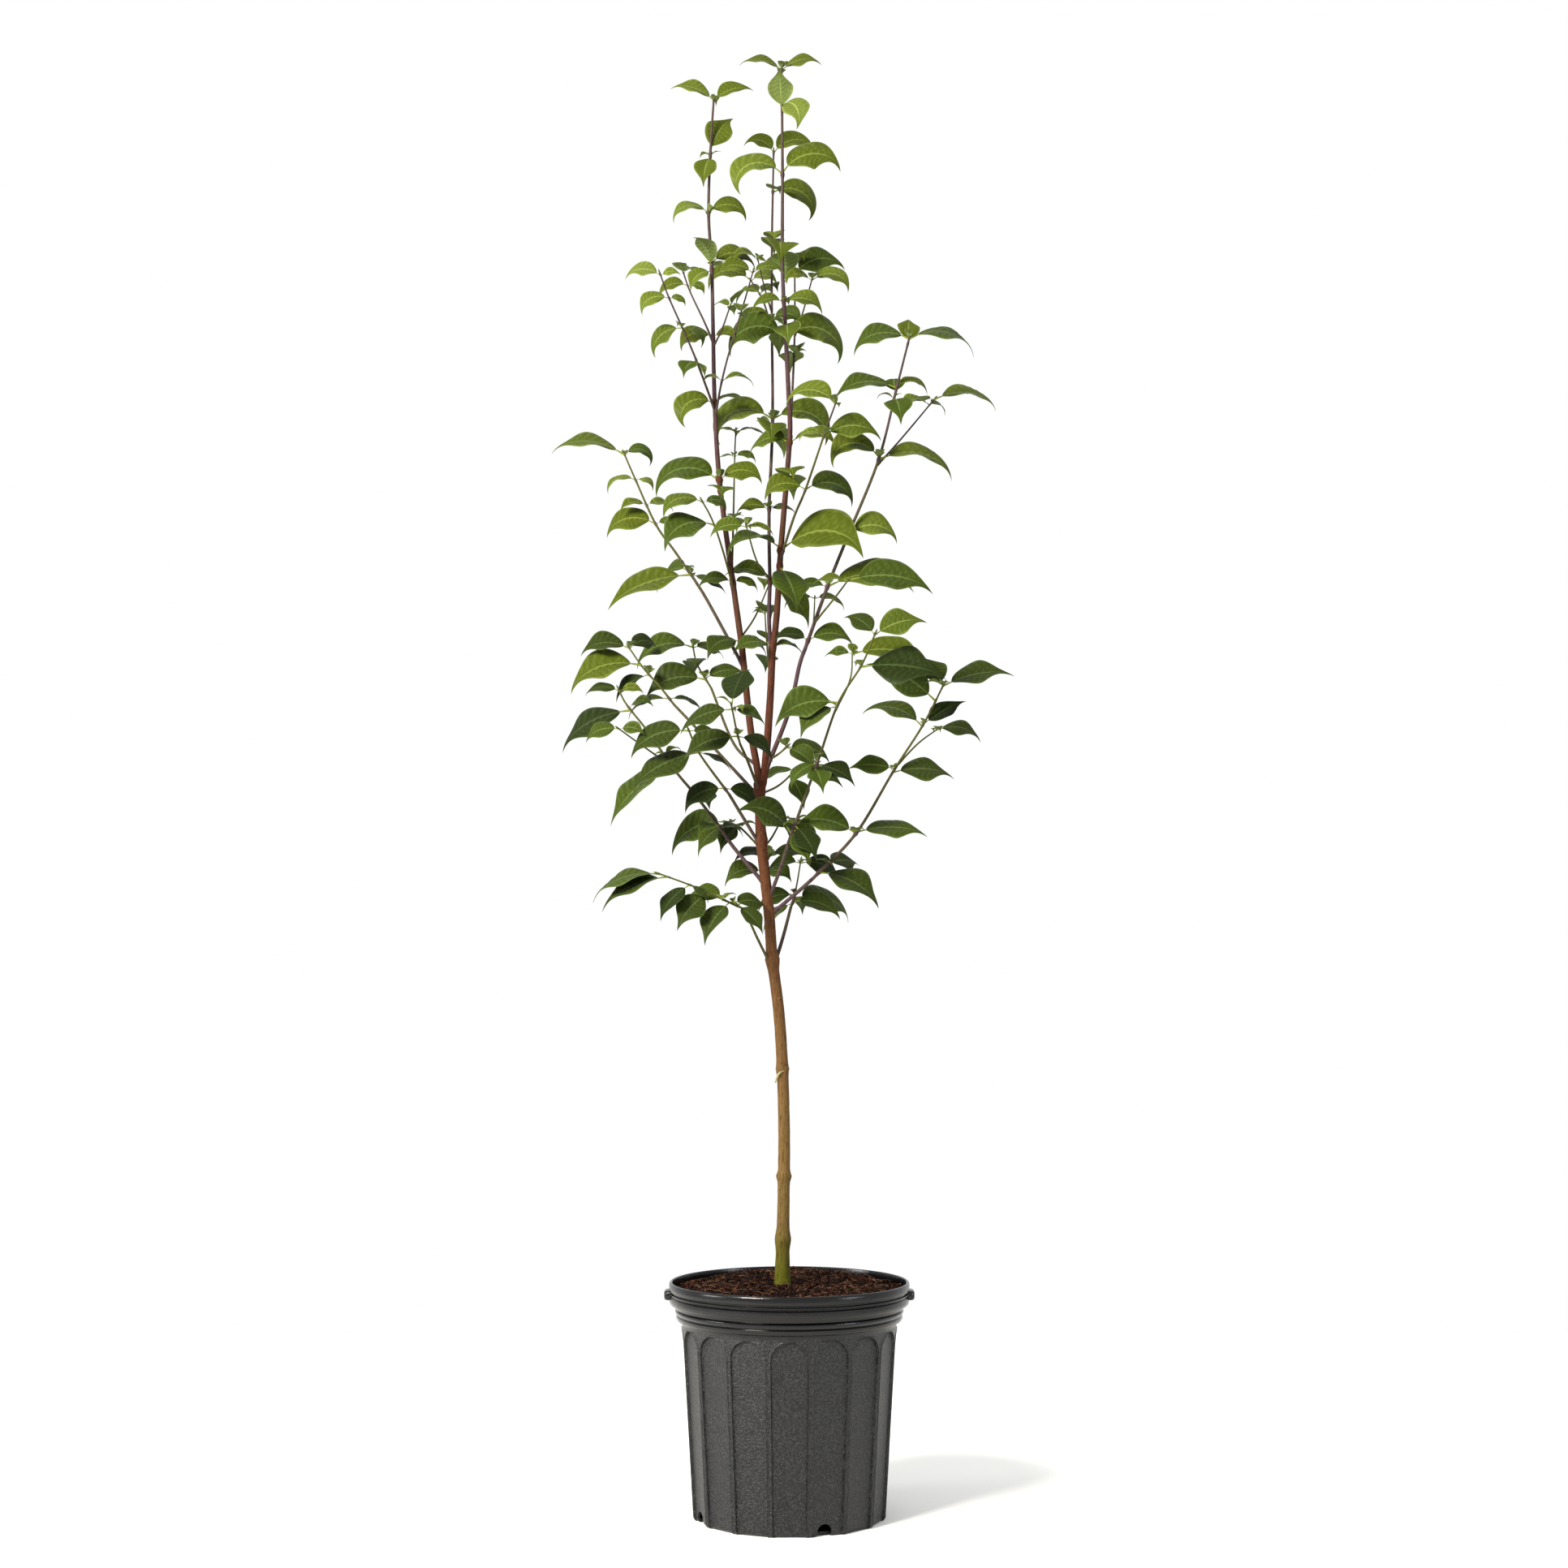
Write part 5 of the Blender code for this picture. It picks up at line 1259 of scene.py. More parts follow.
    def relief(self, u: float, v: float, leaf: Leaf, phase: float) -> tuple[float, float]:
        """The blade's rise at a place, as a share of the half width, and how much vein colour is there, the
        painted highlight at the margin included.

        Args:
            u: share of the blade's length.
            v: share of the half width, below 0 on the left.
            leaf: the leaf.
            phase: where its waves start.

        Returns:
            The rise, and the strength of the vein colour, with the painted rim highlight at the margin.
        """
        a = abs(v)
        start = u - self.vein_slant * a ** self.vein_bow
        number = min(max(round((start - self.vein_start) / self.vein_pitch), 0), self.veins - 1)
        off = (start - self.vein_start - number * self.vein_pitch) / self.vein_pitch
        near = (1 - 2 * abs(off)) ** 1.5 if abs(off) < 0.5 else 0.0
        fade = max(0.0, 1 - a ** 5)
        smooth = max(0.0, 1 - a * a)
        fold = math.sin(math.radians(leaf.fold))
        rise = fold * a - self.edge_curl * a ** 3 - self.quilt * near * smooth * min(1.0, a * 6)
        lag = self.wave_lag if v > 0 else 0.0
        rise += self.wave * a * a * math.sin(2 * math.pi * (self.waves * u + phase) + lag)
        midrib = 1.0 if a < self.midrib_width else 0.0
        vein = max(near ** 3 * fade * self.vein_tone, midrib) * (1 - 0.5 * u)
        # Along the margin the vein colour paints a highlight
        return rise, max(vein, self.painted_rim_highlight if a > self.margin else 0.0)

    def middle(self, leaf: Leaf, line: Sequence[Vector], u: float) -> tuple[Vector, Vector, Vector]:
        """The blade's middle at a share of its length, with its side and top directions."""
        share = PETIOLE + (1 - PETIOLE) * u
        _, side, top = leaf.frame(share)
        place = share * LEAF_STEPS * self.fine
        index = min(int(place), len(line) - 2)
        middle = line[index].lerp(line[index + 1], place - index)
        hooked = max(0.0, (u - self.hook_start) / (1 - self.hook_start)) ** 2
        return middle - top * self.hook * leaf.length * hooked, side, top

    def half_width(self, leaf: Leaf, u: float) -> float:
        """Half the blade's width at a share of its length, with the tip drawn out."""
        drawn = min(1.0, max(0.0, (u - self.taper_start) / self.taper_span))
        kept = 1 - self.taper * drawn * drawn * (3 - 2 * drawn)
        return max(HALF_WIDTH * leaf.length * leaf.width(u) * kept, self.least_half)

    @staticmethod
    def blade_faces(rows: int, wide: int, tints: tuple[Tint, Tint]) -> tuple[list, list]:
        """The faces of a closed blade: both its sides, its margins, its foot and its tip.

        Args:
            rows: how many rows of faces it has.
            wide: how many corners each row has.
            tints: the tints of its upper and its lower side.

        Returns:
            The faces, and the material number of each.
        """
        upper, lower = (tint.slot for tint in tints)
        under = (rows + 1) * wide
        faces, slots = [], []
        for row in range(rows):
            for a in range(row * wide, (row + 1) * wide - 1):
                faces.append((a, a + wide, a + wide + 1, a + 1))
                faces.append(tuple(under + i for i in (a, a + 1, a + wide + 1, a + wide)))
                slots += [upper, lower]
            for a, b in ((row * wide, (row + 1) * wide), ((row + 2) * wide - 1, (row + 1) * wide - 1)):
                faces.append((a, under + a, under + b, b))
                slots.append(upper)
        for row, order in ((0, 1), (rows, -1)):
            for a in range(row * wide, (row + 1) * wide - 1):
                faces.append((a, a + 1, under + a + 1, under + a)[::order])
                slots.append(upper)
        return faces, slots

    def add_leaf(self, batch: Batch, shoot: Shoot, leaf: Leaf, age: LeafAge) -> None:
        """Adds one leaf: a closed blade with both faces, and its stalk."""
        small = leaf.length < SMALLEST_LEAF
        rows = self.small_rows if small else self.rows
        right = self.small_columns if small else self.columns
        columns = [-v for v in right[:0:-1]] + list(right)
        phase = random.Random(f"wave {shoot.name} {leaf.base.z:.1f} {leaf.turn:.1f}").random()
        line = leaf.course(LEAF_STEPS * self.fine)
        level = math.cos(math.radians(leaf.fold))
        points, tones = [], []
        for face in (1, -1):
            for row in range(rows + 1):
                u = row / rows
                middle, side, top = self.middle(leaf, line, u)
                half = self.half_width(leaf, u)
                for v in columns:
                    rise, vein = self.relief(u, v, leaf, phase)
                    thick = self.thickness / 2 * (1 - self.thinning * abs(v))
                    if face < 0 and abs(v) < self.rib_width:
                        thick += self.rib_depth * (1 - u) * (self.small_rib if small else 1.0)
                    spread = side * half * v * level
                    points.append(middle + spread + top * (half * rise + face * thick))
                    tones.append(vein)
        faces, slots = self.blade_faces(rows, len(columns), self.tints(shoot, leaf, age))
        batch.add(points, faces, slots, tones)
        self.add_stalk(batch, leaf, line, small)

    def add_stalk(self, batch: Batch, leaf: Leaf, line: Sequence[Vector], small: bool) -> None:
        """Adds the leaf's stalk, from inside the stem to a little way under the blade."""
        steps = LEAF_STEPS * self.fine
        radius = self.stalk_radius * (self.small_stalk if small else 1.0)
        radius *= min(1.25, max(0.6, leaf.length / 80))
        rings = []
        for index in range(0, round(self.stalk_end * steps) + 1, 3):
            share = index / steps
            _, side, top = leaf.frame(max(share, 0.02))
            thick = radius * (1.5 - 4.0 * share if share < 0.1 else 1.1 - max(0.0, share - 0.1) * 9)
            middle = line[index] - top * (0.35 * thick + 0.2 if share > PETIOLE else 0.0)
            rings.append(round_ring(middle, side, top, max(thick, 0.15), 5 if small else 7))
        batch.add_loft(rings, Tint.STALK.slot, self.stalk_tone)


@dataclass
class Wood:
    """The trunk, boughs and twigs as barked meshes with rings, scars and buds."""

    tree: Tree
    trunk_sides: int = 28
    bough_sides: int = 16
    twig_sides: int = 10
    ring_mm: float = 3.2
    twig_ring_mm: float = 4.5
    sink_mm: float = 2.5  # how far a limb reaches back into the cut end that it goes on from
    collar: tuple = (0.28, 6.0, 5.0)  # swelling over a limb's root, its distance from it and its width
    node: tuple = (0.42, 2.0)  # swelling where leaves stand, and its width
    scar: tuple = (0.35, 1.0, 1.3)  # fine ridge on the trunk's lower rings, height and width
    scars: int = 5
    ridge: float = 0.035  # depth of the bark's grain, as a share of the radius
    old_radius: float = 5.6  # wood thicker than this below the fork is old
    fork_height: float = 860.0
    old_tones: tuple = (272.0, 580.0, 0.45)  # lowest tone's height, rise to the highest, and that tone
    young_tones: tuple = (0.45, 0.6, 4.6)  # lowest tone, gain to a tip, and radius at the lowest
    least_young: float = 0.42
    crown_height: float = 1250.0  # above which no bark is greener than the next tone
    crown_tone: float = 0.78
    # Height, turn, size and reach of each pruned shoot
    stubs: tuple = ((514, -30, 2.6, 8.6), (596, -80, 2.4, 7.2), (391, 60, 2.0, 9.0))
    stub_shape: tuple = ((0.3, 1.5), (0.62, 1.35), (0.8, 1.0), (0.97, 0.95), (1.0, 0.6))
    stub_rise: float = 0.45
    stub_tone: float = 0.16
    bud_mm: tuple = (2.2, 6.0)
    bud_shape: tuple = ((-0.3, 0.6), (0.0, 0.85), (0.35, 1.0), (0.7, 0.62), (0.92, 0.2))
    bud_tone: float = 0.97
    dead_height: float = 507.0  # of the dead leaf stalk that hangs from the trunk's third ring
    dead_route: tuple = ((2.5, -6.0, 6.5), (-1.5, -8.2, 6.0), (-6.0, -7.8, 1.5), (-8.6, -6.4, -6.5))
    dead_radius: float = 1.3
    dead_steps: int = 12

    def build(self) -> list[bpy.types.Object]:
        """Builds the limbs and the twigs.

        Returns:
            The limb piece and the twig piece.
        """
        bark = Bark().make()
        dead = Crumb("dead_stalk_bleached", "#7d7650", "#aaa47c").make()
        limbs = Batch("barked_limbs")
        self.add_limb(limbs, "trunk", self.trunk_sides, self.ring_mm)
        self.add_stubs(limbs)
        self.add_dead_stalk(limbs)
        for shoot in BOUGHS:
            self.add_limb(limbs, shoot.name, self.bough_sides, self.ring_mm, bool(shoot.root))
        twigs = Batch("barked_twigs")
        for shoots in MASSES.values():
            for shoot in shoots:
                self.add_limb(twigs, shoot.name, self.twig_sides, self.twig_ring_mm, bool(shoot.root))
                self.add_bud(twigs, shoot)
        names = ["trunk", *(shoot.name for shoot in BOUGHS)]
        return [limbs.build([bark, dead], names, "bark"), twigs.build([bark], [], "bark")]

    def tone(self, point: Vector, radius: float) -> float:
        """How young the bark is at a place, from 0 at the foot to 1 at the tips."""
        if radius > self.old_radius and point.z < self.fork_height:
            foot, rise, most = self.old_tones
            return max(0.0, min(most, (point.z - foot) / rise * most))
        least, gain, thick = self.young_tones
        young = least + gain * (1 - radius / thick)
        return max(self.least_young, min(self.crown_tone if point.z > self.crown_height else 1.0, young))

    def swollen(self, limb: Limb, share: float, height: float, rooted: bool) -> float:
        """A limb's radius at a share of its length, with its collar, its nodes and its scars."""
        radius = limb.radius(share)
        if rooted:
            swelling, away, width = self.collar
            radius *= 1 + swelling * math.exp(-((share * limb.length - away) / width) ** 2)
        for joint in limb.joints:
            away = (share - joint) * limb.length / self.node[1]
            radius *= 1 + self.node[0] * math.exp(-away ** 2)
        rise, above, width = self.scar
        for ring in limb.nodes[:self.scars]:
            radius += rise * math.exp(-((height - ring[0] - above) / width) ** 2)
        return radius

    def add_limb(self, batch: Batch, name: str, sides: int, spacing: float, rooted: bool = False) -> None:
        """Adds one limb.

        Args:
            batch: the piece that it joins.
            name: the limb's name.
            sides: how many sides it has.
            spacing: the distance between its rings.
            rooted: whether it starts on its parent's middle line.
        """
        limb = self.tree.limbs[name]
        count = max(6, round(limb.length / spacing))
        side = limb.tangent(0.001).orthogonal().normalized()
        rings, tones = [], []
        for step in range(count + 1):
            share = step / count
            along = limb.tangent(max(share, 0.001))
            side = (side - along * side.dot(along)).normalized()
            across = along.cross(side)
            middle = limb.point(share)
            if step == 0 and not rooted and limb.heading:
                middle = middle - along * self.sink_mm
            radius = self.swollen(limb, share, middle.z, rooted)
            ring = []
            for out in round_ring(Vector(), side, across, 1.0, sides):
                spot = middle + out * radius
                grain = noise.noise(Vector((spot.x, spot.y, spot.z * 0.16)) * 0.55)
                grain += 0.5 * noise.noise(Vector((spot.x, spot.y, spot.z * 0.5)) * 0.9)
                ring.append(middle + out * radius * (1 + self.ridge * grain))
                tones.append(self.tone(spot, radius))
            rings.append(ring)
        batch.add_loft(rings, 0, tones)

    def trunk_middle(self, height: float) -> Vector:
        """The trunk's middle at a height."""
        trunk = self.tree.limbs["trunk"]
        return trunk.point(trunk.share_at(height))

    def add_stubs(self, batch: Batch) -> None:
        """Adds the stubs and healed scars of pruned shoots."""
        for height, turn, size, reach in self.stubs:
            angle = math.radians(turn)
            out = Vector((math.cos(angle), math.sin(angle), self.stub_rise)).normalized()
            side = out.cross(Vector((0, 0, 1))).normalized()
            middle = self.trunk_middle(height)
            rings = [round_ring(middle + out * reach * far, side, out.cross(side), size * wide, 12)
                     for far, wide in self.stub_shape]
            batch.add_loft(rings, 0, self.stub_tone)

    def add_dead_stalk(self, batch: Batch) -> None:
        """Adds the bleached leaf stalk, at the trunk's front left."""
        middle = self.trunk_middle(self.dead_height)
        line = [middle + Vector(place) for place in self.dead_route]
        rings = []
        for step in range(self.dead_steps + 1):
            spot = blend(line, (len(line) - 1) * step / self.dead_steps)
            radius = self.dead_radius * (0.7 + 0.5 * math.sin(math.pi * step / self.dead_steps))
            rings.append(round_ring(spot, Vector((1, 0, 0)), Vector((0, -1, 0.6)), radius, 8))
        batch.add_loft(rings, 1)

    def add_bud(self, batch: Batch, shoot: Shoot) -> None:
        """Adds the pointed bud at a shoot's tip."""
        limb = self.tree.limbs[shoot.name]
        along = limb.tangent(0.99)
        side = along.orthogonal().normalized()
        tip = limb.point(1.0)
        wide, long = self.bud_mm
        radius = max(wide / 2, limb.radius(1.0))
        rings = [round_ring(tip + along * long * far, side, along.cross(side), radius * share, 8)
                 for far, share in self.bud_shape]
        batch.add_loft([*rings, [tip + along * long]], 0, self.bud_tone)


# The pot and its bed

def lofted_mesh(name: str, rings: Sequence[Sequence[Vector]], weld: float = 0.0) -> bpy.types.Mesh:
    """Makes a closed mesh over rings, with its faces turned outwards.

    Args:
        name: the mesh's name.
        rings: the rings, in millimetres.
        weld: distance in millimetres below which corners are joined, or 0 to join none.

    Returns:
        The mesh.
    """
    points, faces = lofted(rings)
    mesh = bpy.data.meshes.new(name)
    mesh.from_pydata([p * MM for p in points], [], faces)
    work = bmesh.new()
    work.from_mesh(mesh)
    if weld:
        bmesh.ops.remove_doubles(work, verts=work.verts, dist=weld * MM)
    bmesh.ops.recalc_face_normals(work, faces=work.faces)
    work.to_mesh(mesh)
    work.free()
    return mesh


@dataclass
class Pot:
    """The blow-moulded nursery pot with arched flutes, a stepped rim, lugs and drain holes."""

    INNER = 0.999  # a flute's own columns stop here, just short of its edges

    flutes: int = 16
    body_top: tuple = (124.6, 221.0)  # radius and height
    body_foot: tuple = (111.4, 0.0)
    foot_round: float = 4.0
    foot_rows: tuple = (0.0, 0.4, 1.2, 2.4, 4.0, 8.0)
    row_steps: int = 12  # in a flute's straight sides, and in its arch
    depth: float = 2.9  # of a flute
    half_widths: tuple = (21.2, 18.8)  # of a flute at its arch and at its foot
    spring: float = 197.0  # height at which its arch starts
    edge_mm: float = 0.6
    bead: float = 0.9  # how far its raised edge stands out
    rim: tuple = ((126.4, 224.6), (130.2, 226.4), (131.5, 228.2), (131.6, 231.0), (130.5, 232.2),
                  (131.3, 233.4), (132.4, 235.0), (132.9, 236.6), (132.6, 238.0), (131.3, 239.0),
                  (133.2, 240.4), (133.6, 242.6), (133.9, 244.0), (138.0, 244.6), (139.0, 245.8),
                  (139.4, 249.0), (139.3, 253.0), (137.6, 254.4), (137.6, 255.6), (139.4, 256.4),
                  (139.5, 257.4), (137.0, 258.2), (137.0, 259.8), (139.7, 260.6), (140.0, 262.0),
                  (140.0, 267.0), (139.6, 268.8), (138.6, 269.8), (137.4, 270.0), (136.4, 269.4),
                  (136.0, 267.8), (135.8, 262.0), (135.4, 250.0), (129.6, 244.2), (128.6, 230.4),
                  (121.4, 222.0), (106.9, 4.0))
    holes: int = 4
    hole_turn: float = 21.0
    hole_half_width: float = 8.5
    hole_spring: float = 5.5
    hole_foot: float = -3.0  # how far below the floor the cutter starts
    hole_reach: tuple = (101.0, 120.0)  # radii between which it cuts
    lug_turns: tuple = (0.0, 180.0)
    lug_mm: tuple = (29.0, 12.0)
    lug_height: float = 254.6
    lug_shape: tuple = ((136.5, 1.0), (141.5, 0.98), (143.6, 0.92), (144.9, 0.8), (145.5, 0.62))
    lug_corner: float = 0.45  # below 1, so that its outline is a rounded box
    weld: float = 0.02
    crease: float = 38.0

    def build(self) -> bpy.types.Object:
        """Builds the pot.

        Returns:
            The pot's piece.
        """
        columns = self.columns()
        rings = [self.wall_ring(z, spread, columns) for z, spread in self.rows()]
        angles = [math.atan2(p.y, p.x) for p in rings[-1]]
        for radius, height in self.rim:
            rings.append([Vector((radius * math.cos(a), radius * math.sin(a), height)) for a in angles])
        pot = bpy.data.objects.new("nursery_pot", lofted_mesh("nursery_pot", rings, self.weld))
        pot.data.materials.append(MouldedPlastic().make())
        bpy.context.scene.collection.objects.link(pot)
        for number in range(self.holes):
            self.drill(pot, number)
        self.add_lugs(pot.data)
        pot.data.shade_smooth()
        pot.data.set_sharp_from_angle(angle=math.radians(self.crease))
        return settle_piece(pot, ["pot"])

    def add_lugs(self, mesh: bpy.types.Mesh) -> None:
        """Adds the two grip lugs to the pot's mesh."""
        work = bmesh.new()
        work.from_mesh(mesh)
        for turn in self.lug_turns:
            points, faces = lofted(self.lug_rings(turn))
            corners = [work.verts.new(p * MM) for p in points]
            made = [work.faces.new([corners[i] for i in face]) for face in faces]
            bmesh.ops.recalc_face_normals(work, faces=made)
        work.to_mesh(mesh)
        work.free()

    def lug_rings(self, turn: float) -> list[list[Vector]]:
        """One grip lug's rings, from inside the rim out to its rounded nose."""
        out = Vector((math.cos(math.radians(turn)), math.sin(math.radians(turn)), 0))
        side = Vector((-out.y, out.x, 0))
        width, tall = self.lug_mm
        rings = []
        for reach, share in self.lug_shape:
            ring = []
            for step in range(24):
                across, up = math.cos(2 * math.pi * step / 24), math.sin(2 * math.pi * step / 24)
                x = math.copysign(abs(across) ** self.lug_corner, across) * width / 2 * share
                z = math.copysign(abs(up) ** self.lug_corner, up) * tall / 2 * share
                ring.append(out * reach + side * x + Vector((0, 0, self.lug_height + z)))
            rings.append(ring)
        return rings

    def columns(self) -> list[tuple[int, float, float]]:
        """Each column of the wall as its flute, its place in the flute and its place outside it."""
        inside = [-1 + 2 * k / 14 for k in range(15)]
        made = []
        for flute in range(self.flutes):
            made += [(flute, -1.0, t) for t in (-1.0, -0.7, -0.4, 0.0)]
            made += [(flute, t * self.INNER, -1.0 if t < 0 else -2.0) for t in inside]
            made += [(flute, 1.0, t) for t in (0.0, 0.4, 0.7)]
        return made

    def rows(self) -> list[tuple[float, float]]:
        """Each row of the wall as its height and how far the flute has closed, above 1 past it."""
        steps, foot, rise = self.row_steps, self.foot_rows[-1], self.half_widths[0]
        low = [(z, 0.0) for z in self.foot_rows]
        straight = [(foot + (self.spring - foot) * k / steps, 0.0) for k in range(1, steps + 1)]
        arch = [(self.spring + rise * math.sin(math.pi / 2 * k / steps), k / steps)
                for k in range(1, steps + 1)]
        over = [(self.spring + rise + 0.8, 2.0), (self.body_top[1], 2.0)]
        return low + straight + arch + over

    def radius_at(self, z: float) -> float:
        """The wall's radius at a height, with its rounded foot."""
        radius = self.body_foot[0] + (self.body_top[0] - self.body_foot[0]) * z / self.body_top[1]
        if z < self.foot_round:
            radius -= self.foot_round - math.sqrt(self.foot_round ** 2 - (self.foot_round - z) ** 2)
        return radius

    def wall_ring(self, z: float, closed: float, columns: Sequence[tuple]) -> list[Vector]:
        """One ring of the wall.

        Args:
            z: its height.
            closed: how far the arch has closed at that height, above 1 past the flutes.
            columns: the wall's columns.

        Returns:
            The ring's points.
        """
        radius = self.radius_at(z)
        top, foot = self.half_widths
        half = foot + (top - foot) * min(1.0, z / self.spring)
        if closed:
            half = top * math.cos(math.pi / 2 * min(1.0, closed))
        sector = math.pi / self.flutes
        edge = math.asin(max(half, 0.02) / radius)
        inner_edge = math.asin(max(half - self.edge_mm, 0.01) / radius)
        ring = []
        for flute, inside, outside in columns:
            middle = math.radians(-90) + 2 * sector * flute
            if outside <= -1.0 and abs(inside) < 1.0:
                turn = inner_edge * inside / self.INNER
                deep = radius - (radius - self.depth) / math.cos(turn)
                if closed >= 1.0:
                    deep = 0.0
                reach = radius - max(0.0, deep)
            else:
                turn = (edge + (sector - edge) * abs(outside)) * (1 if inside > 0 else -1)
                reach = radius + (self.bead if outside == 0.0 and closed < 1.0 else 0.0)
            ring.append(Vector((reach * math.cos(middle + turn), reach * math.sin(middle + turn), z)))
        return ring

    def drill(self, pot: bpy.types.Object, number: int) -> None:
        """Cuts one drain hole through the foot of the wall, and applies the cut."""
        turn = math.radians(-90 + self.hole_turn + 360 / self.holes * number)
        outline = [(-self.hole_half_width, self.hole_foot)]
        for step in range(17):
            angle = math.pi * (1 - step / 16)
            outline.append((self.hole_half_width * math.cos(angle),
                            self.hole_spring + self.hole_half_width * math.sin(angle)))
        outline.append((self.hole_half_width, self.hole_foot))
        out = Vector((math.cos(turn), math.sin(turn), 0))
        side = Vector((-out.y, out.x, 0))
        rings = [[out * reach + side * x + Vector((0, 0, z)) for x, z in outline]
                 for reach in self.hole_reach]
        cutter = bpy.data.objects.new("drain_cutter", lofted_mesh("drain_cutter", rings))
        bpy.context.scene.collection.objects.link(cutter)
        cut = pot.modifiers.new("Drain", "BOOLEAN")
        cut.operation = "DIFFERENCE"
        cut.solver = "EXACT"
        cut.object = cutter
        bpy.context.view_layer.update()
        seen = pot.evaluated_get(bpy.context.evaluated_depsgraph_get())
        made = bpy.data.meshes.new_from_object(seen)
        pot.modifiers.clear()
        pot.data = made
        bpy.data.objects.remove(cutter)


@dataclass
class Bed:
    """The bed of bark mix: an uneven ground with bark chips, splinters and fibres on it."""

    top: float = 266.0
    edge: float = 261.5
    radius: float = 135.1
    mound: tuple = (6.5, 88.0, 75.0, 46.0)  # its height, how far back it lies, and its half widths
    skirt: float = 245.0  # height at which the ground's skirt ends
    sunk: float = 1.2  # how far the ground lies below the chips
    foot_room: tuple = (-8.0, 11.0)  # the trunk's place from side to side, and the room round it
    rings: int = 60
    steps: int = 150
    chips: int = 3000
    chip_mm: tuple = (1.8, 8.0)
    chip_shape: tuple = ((-0.5, 0.8), (-0.1, 1.0), (0.3, 0.95), (0.5, 0.72))  # each ring's level and width
    chip_tilt: float = 0.6  # spread of its slant, in radians
    fibres: int = 320
    fibre_mm: tuple = (7.0, 28.0)
    fibre_steps: int = 7
    fibre_corners: tuple = (0.0, 2.09, 4.19)
    seed: int = 11

    def level(self, x: float, y: float) -> float:
        """The bed's height at a place."""
        reach = min(1.0, math.hypot(x, y) / self.radius)
        height = self.top - (self.top - self.edge) * reach ** 3
        rise, back, wide, deep = self.mound
        height += rise * math.exp(-((x / wide) ** 2 + ((y - back) / deep) ** 2))
        height += 1.1 * math.sin(x / 17 + 1) * math.cos(y / 21) + 0.7 * math.sin((x - y) / 9)
        return height

    def build(self) -> list[bpy.types.Object]:
        """Builds the ground, the chips and the fibres.

        Returns:
            The bed's pieces.
        """
        materials = [grain.value.make() for grain in Grain]
        ground = Batch("compost_ground")
        self.add_ground(ground)
        chips = Batch("bark_chips")
        draw = random.Random(self.seed)
        for _ in range(self.chips):
            self.add_chip(chips, draw)
        fibres = Batch("coconut_fibres")
        for _ in range(self.fibres):
            self.add_fibre(fibres, draw)
        return [ground.build(materials, ["bark_mix"], "bark_mix"),
                chips.build(materials, [], "bark_mix"), fibres.build(materials, [], "bark_mix")]

    def add_ground(self, batch: Batch) -> None:
        """Adds the lumpy ground, closed by a skirt down the pot's inside."""
        rings = [[Vector((0, 0, self.top))]]
        for ring in range(1, self.rings + 1):
            reach = self.radius * ring / self.rings
            row = []
            for step in range(self.steps):
                angle = 2 * math.pi * step / self.steps
                x, y = reach * math.cos(angle), reach * math.sin(angle)
                lump = 1.6 * noise.noise(Vector((x, y, 0)) * 0.12)
                lump += 0.9 * noise.noise(Vector((x, y, 9)) * 0.4)
                row.append(Vector((x, y, self.level(x, y) - self.sunk + lump)))
            rings.append(row)
        rings.append([Vector((p.x, p.y, self.skirt)) for p in rings[-1]])
        points, faces = lofted(rings[:0:-1] + [rings[0]])
        batch.add(points, [face[::-1] for face in faces], Grain.COMPOST.slot)

    def spot(self, draw: random.Random, edge: float) -> tuple[float, float]:
        """A seeded place on the bed, away from the trunk's foot."""
        while True:
            reach, angle = (self.radius - edge) * math.sqrt(draw.random()), draw.uniform(0, 2 * math.pi)
            x, y = reach * math.cos(angle), reach * math.sin(angle)
            if math.hypot(x - self.foot_room[0], y) > self.foot_room[1]:
                return x, y

    def add_chip(self, batch: Batch, draw: random.Random) -> None:
        """Adds one chip: an uneven six-sided slab, lying at a slant."""
        size = self.chip_mm[0] + (self.chip_mm[1] - self.chip_mm[0]) * draw.random() ** 2.2
        x, y = self.spot(draw, size * 0.9)
        tilt = Matrix.Rotation(draw.uniform(0, 6.3), 3, "Z")
        for axis in ("X", "Y"):
            tilt = tilt @ Matrix.Rotation(draw.gauss(0, self.chip_tilt), 3, axis)
        middle = Vector((x, y, self.level(x, y) + draw.uniform(-1.4, 1.6)))
        thick = size * draw.uniform(0.16, 0.34)
        wide = draw.uniform(0.45, 0.85)
        outline = []
        for corner in range(6):
            angle = math.pi * corner / 3
            long, short = draw.uniform(0.75, 1.1), draw.uniform(0.7, 1.1)
            outline.append((size / 2 * long * math.cos(angle), size / 2 * wide * short * math.sin(angle)))
        rings = []
        for level, scale in self.chip_shape:
            ring = []
            for px, py in outline:
                height = thick * (level + draw.uniform(-0.08, 0.08))
                ring.append(middle + tilt @ Vector((px * scale, py * scale, height)))
            rings.append(ring)
        grains = (Grain.BARK, Grain.DARK_BARK, Grain.COMPOST, Grain.WOOD)
        batch.add_loft(rings, draw.choices(grains, (5, 5, 3, 0.7))[0].slot)

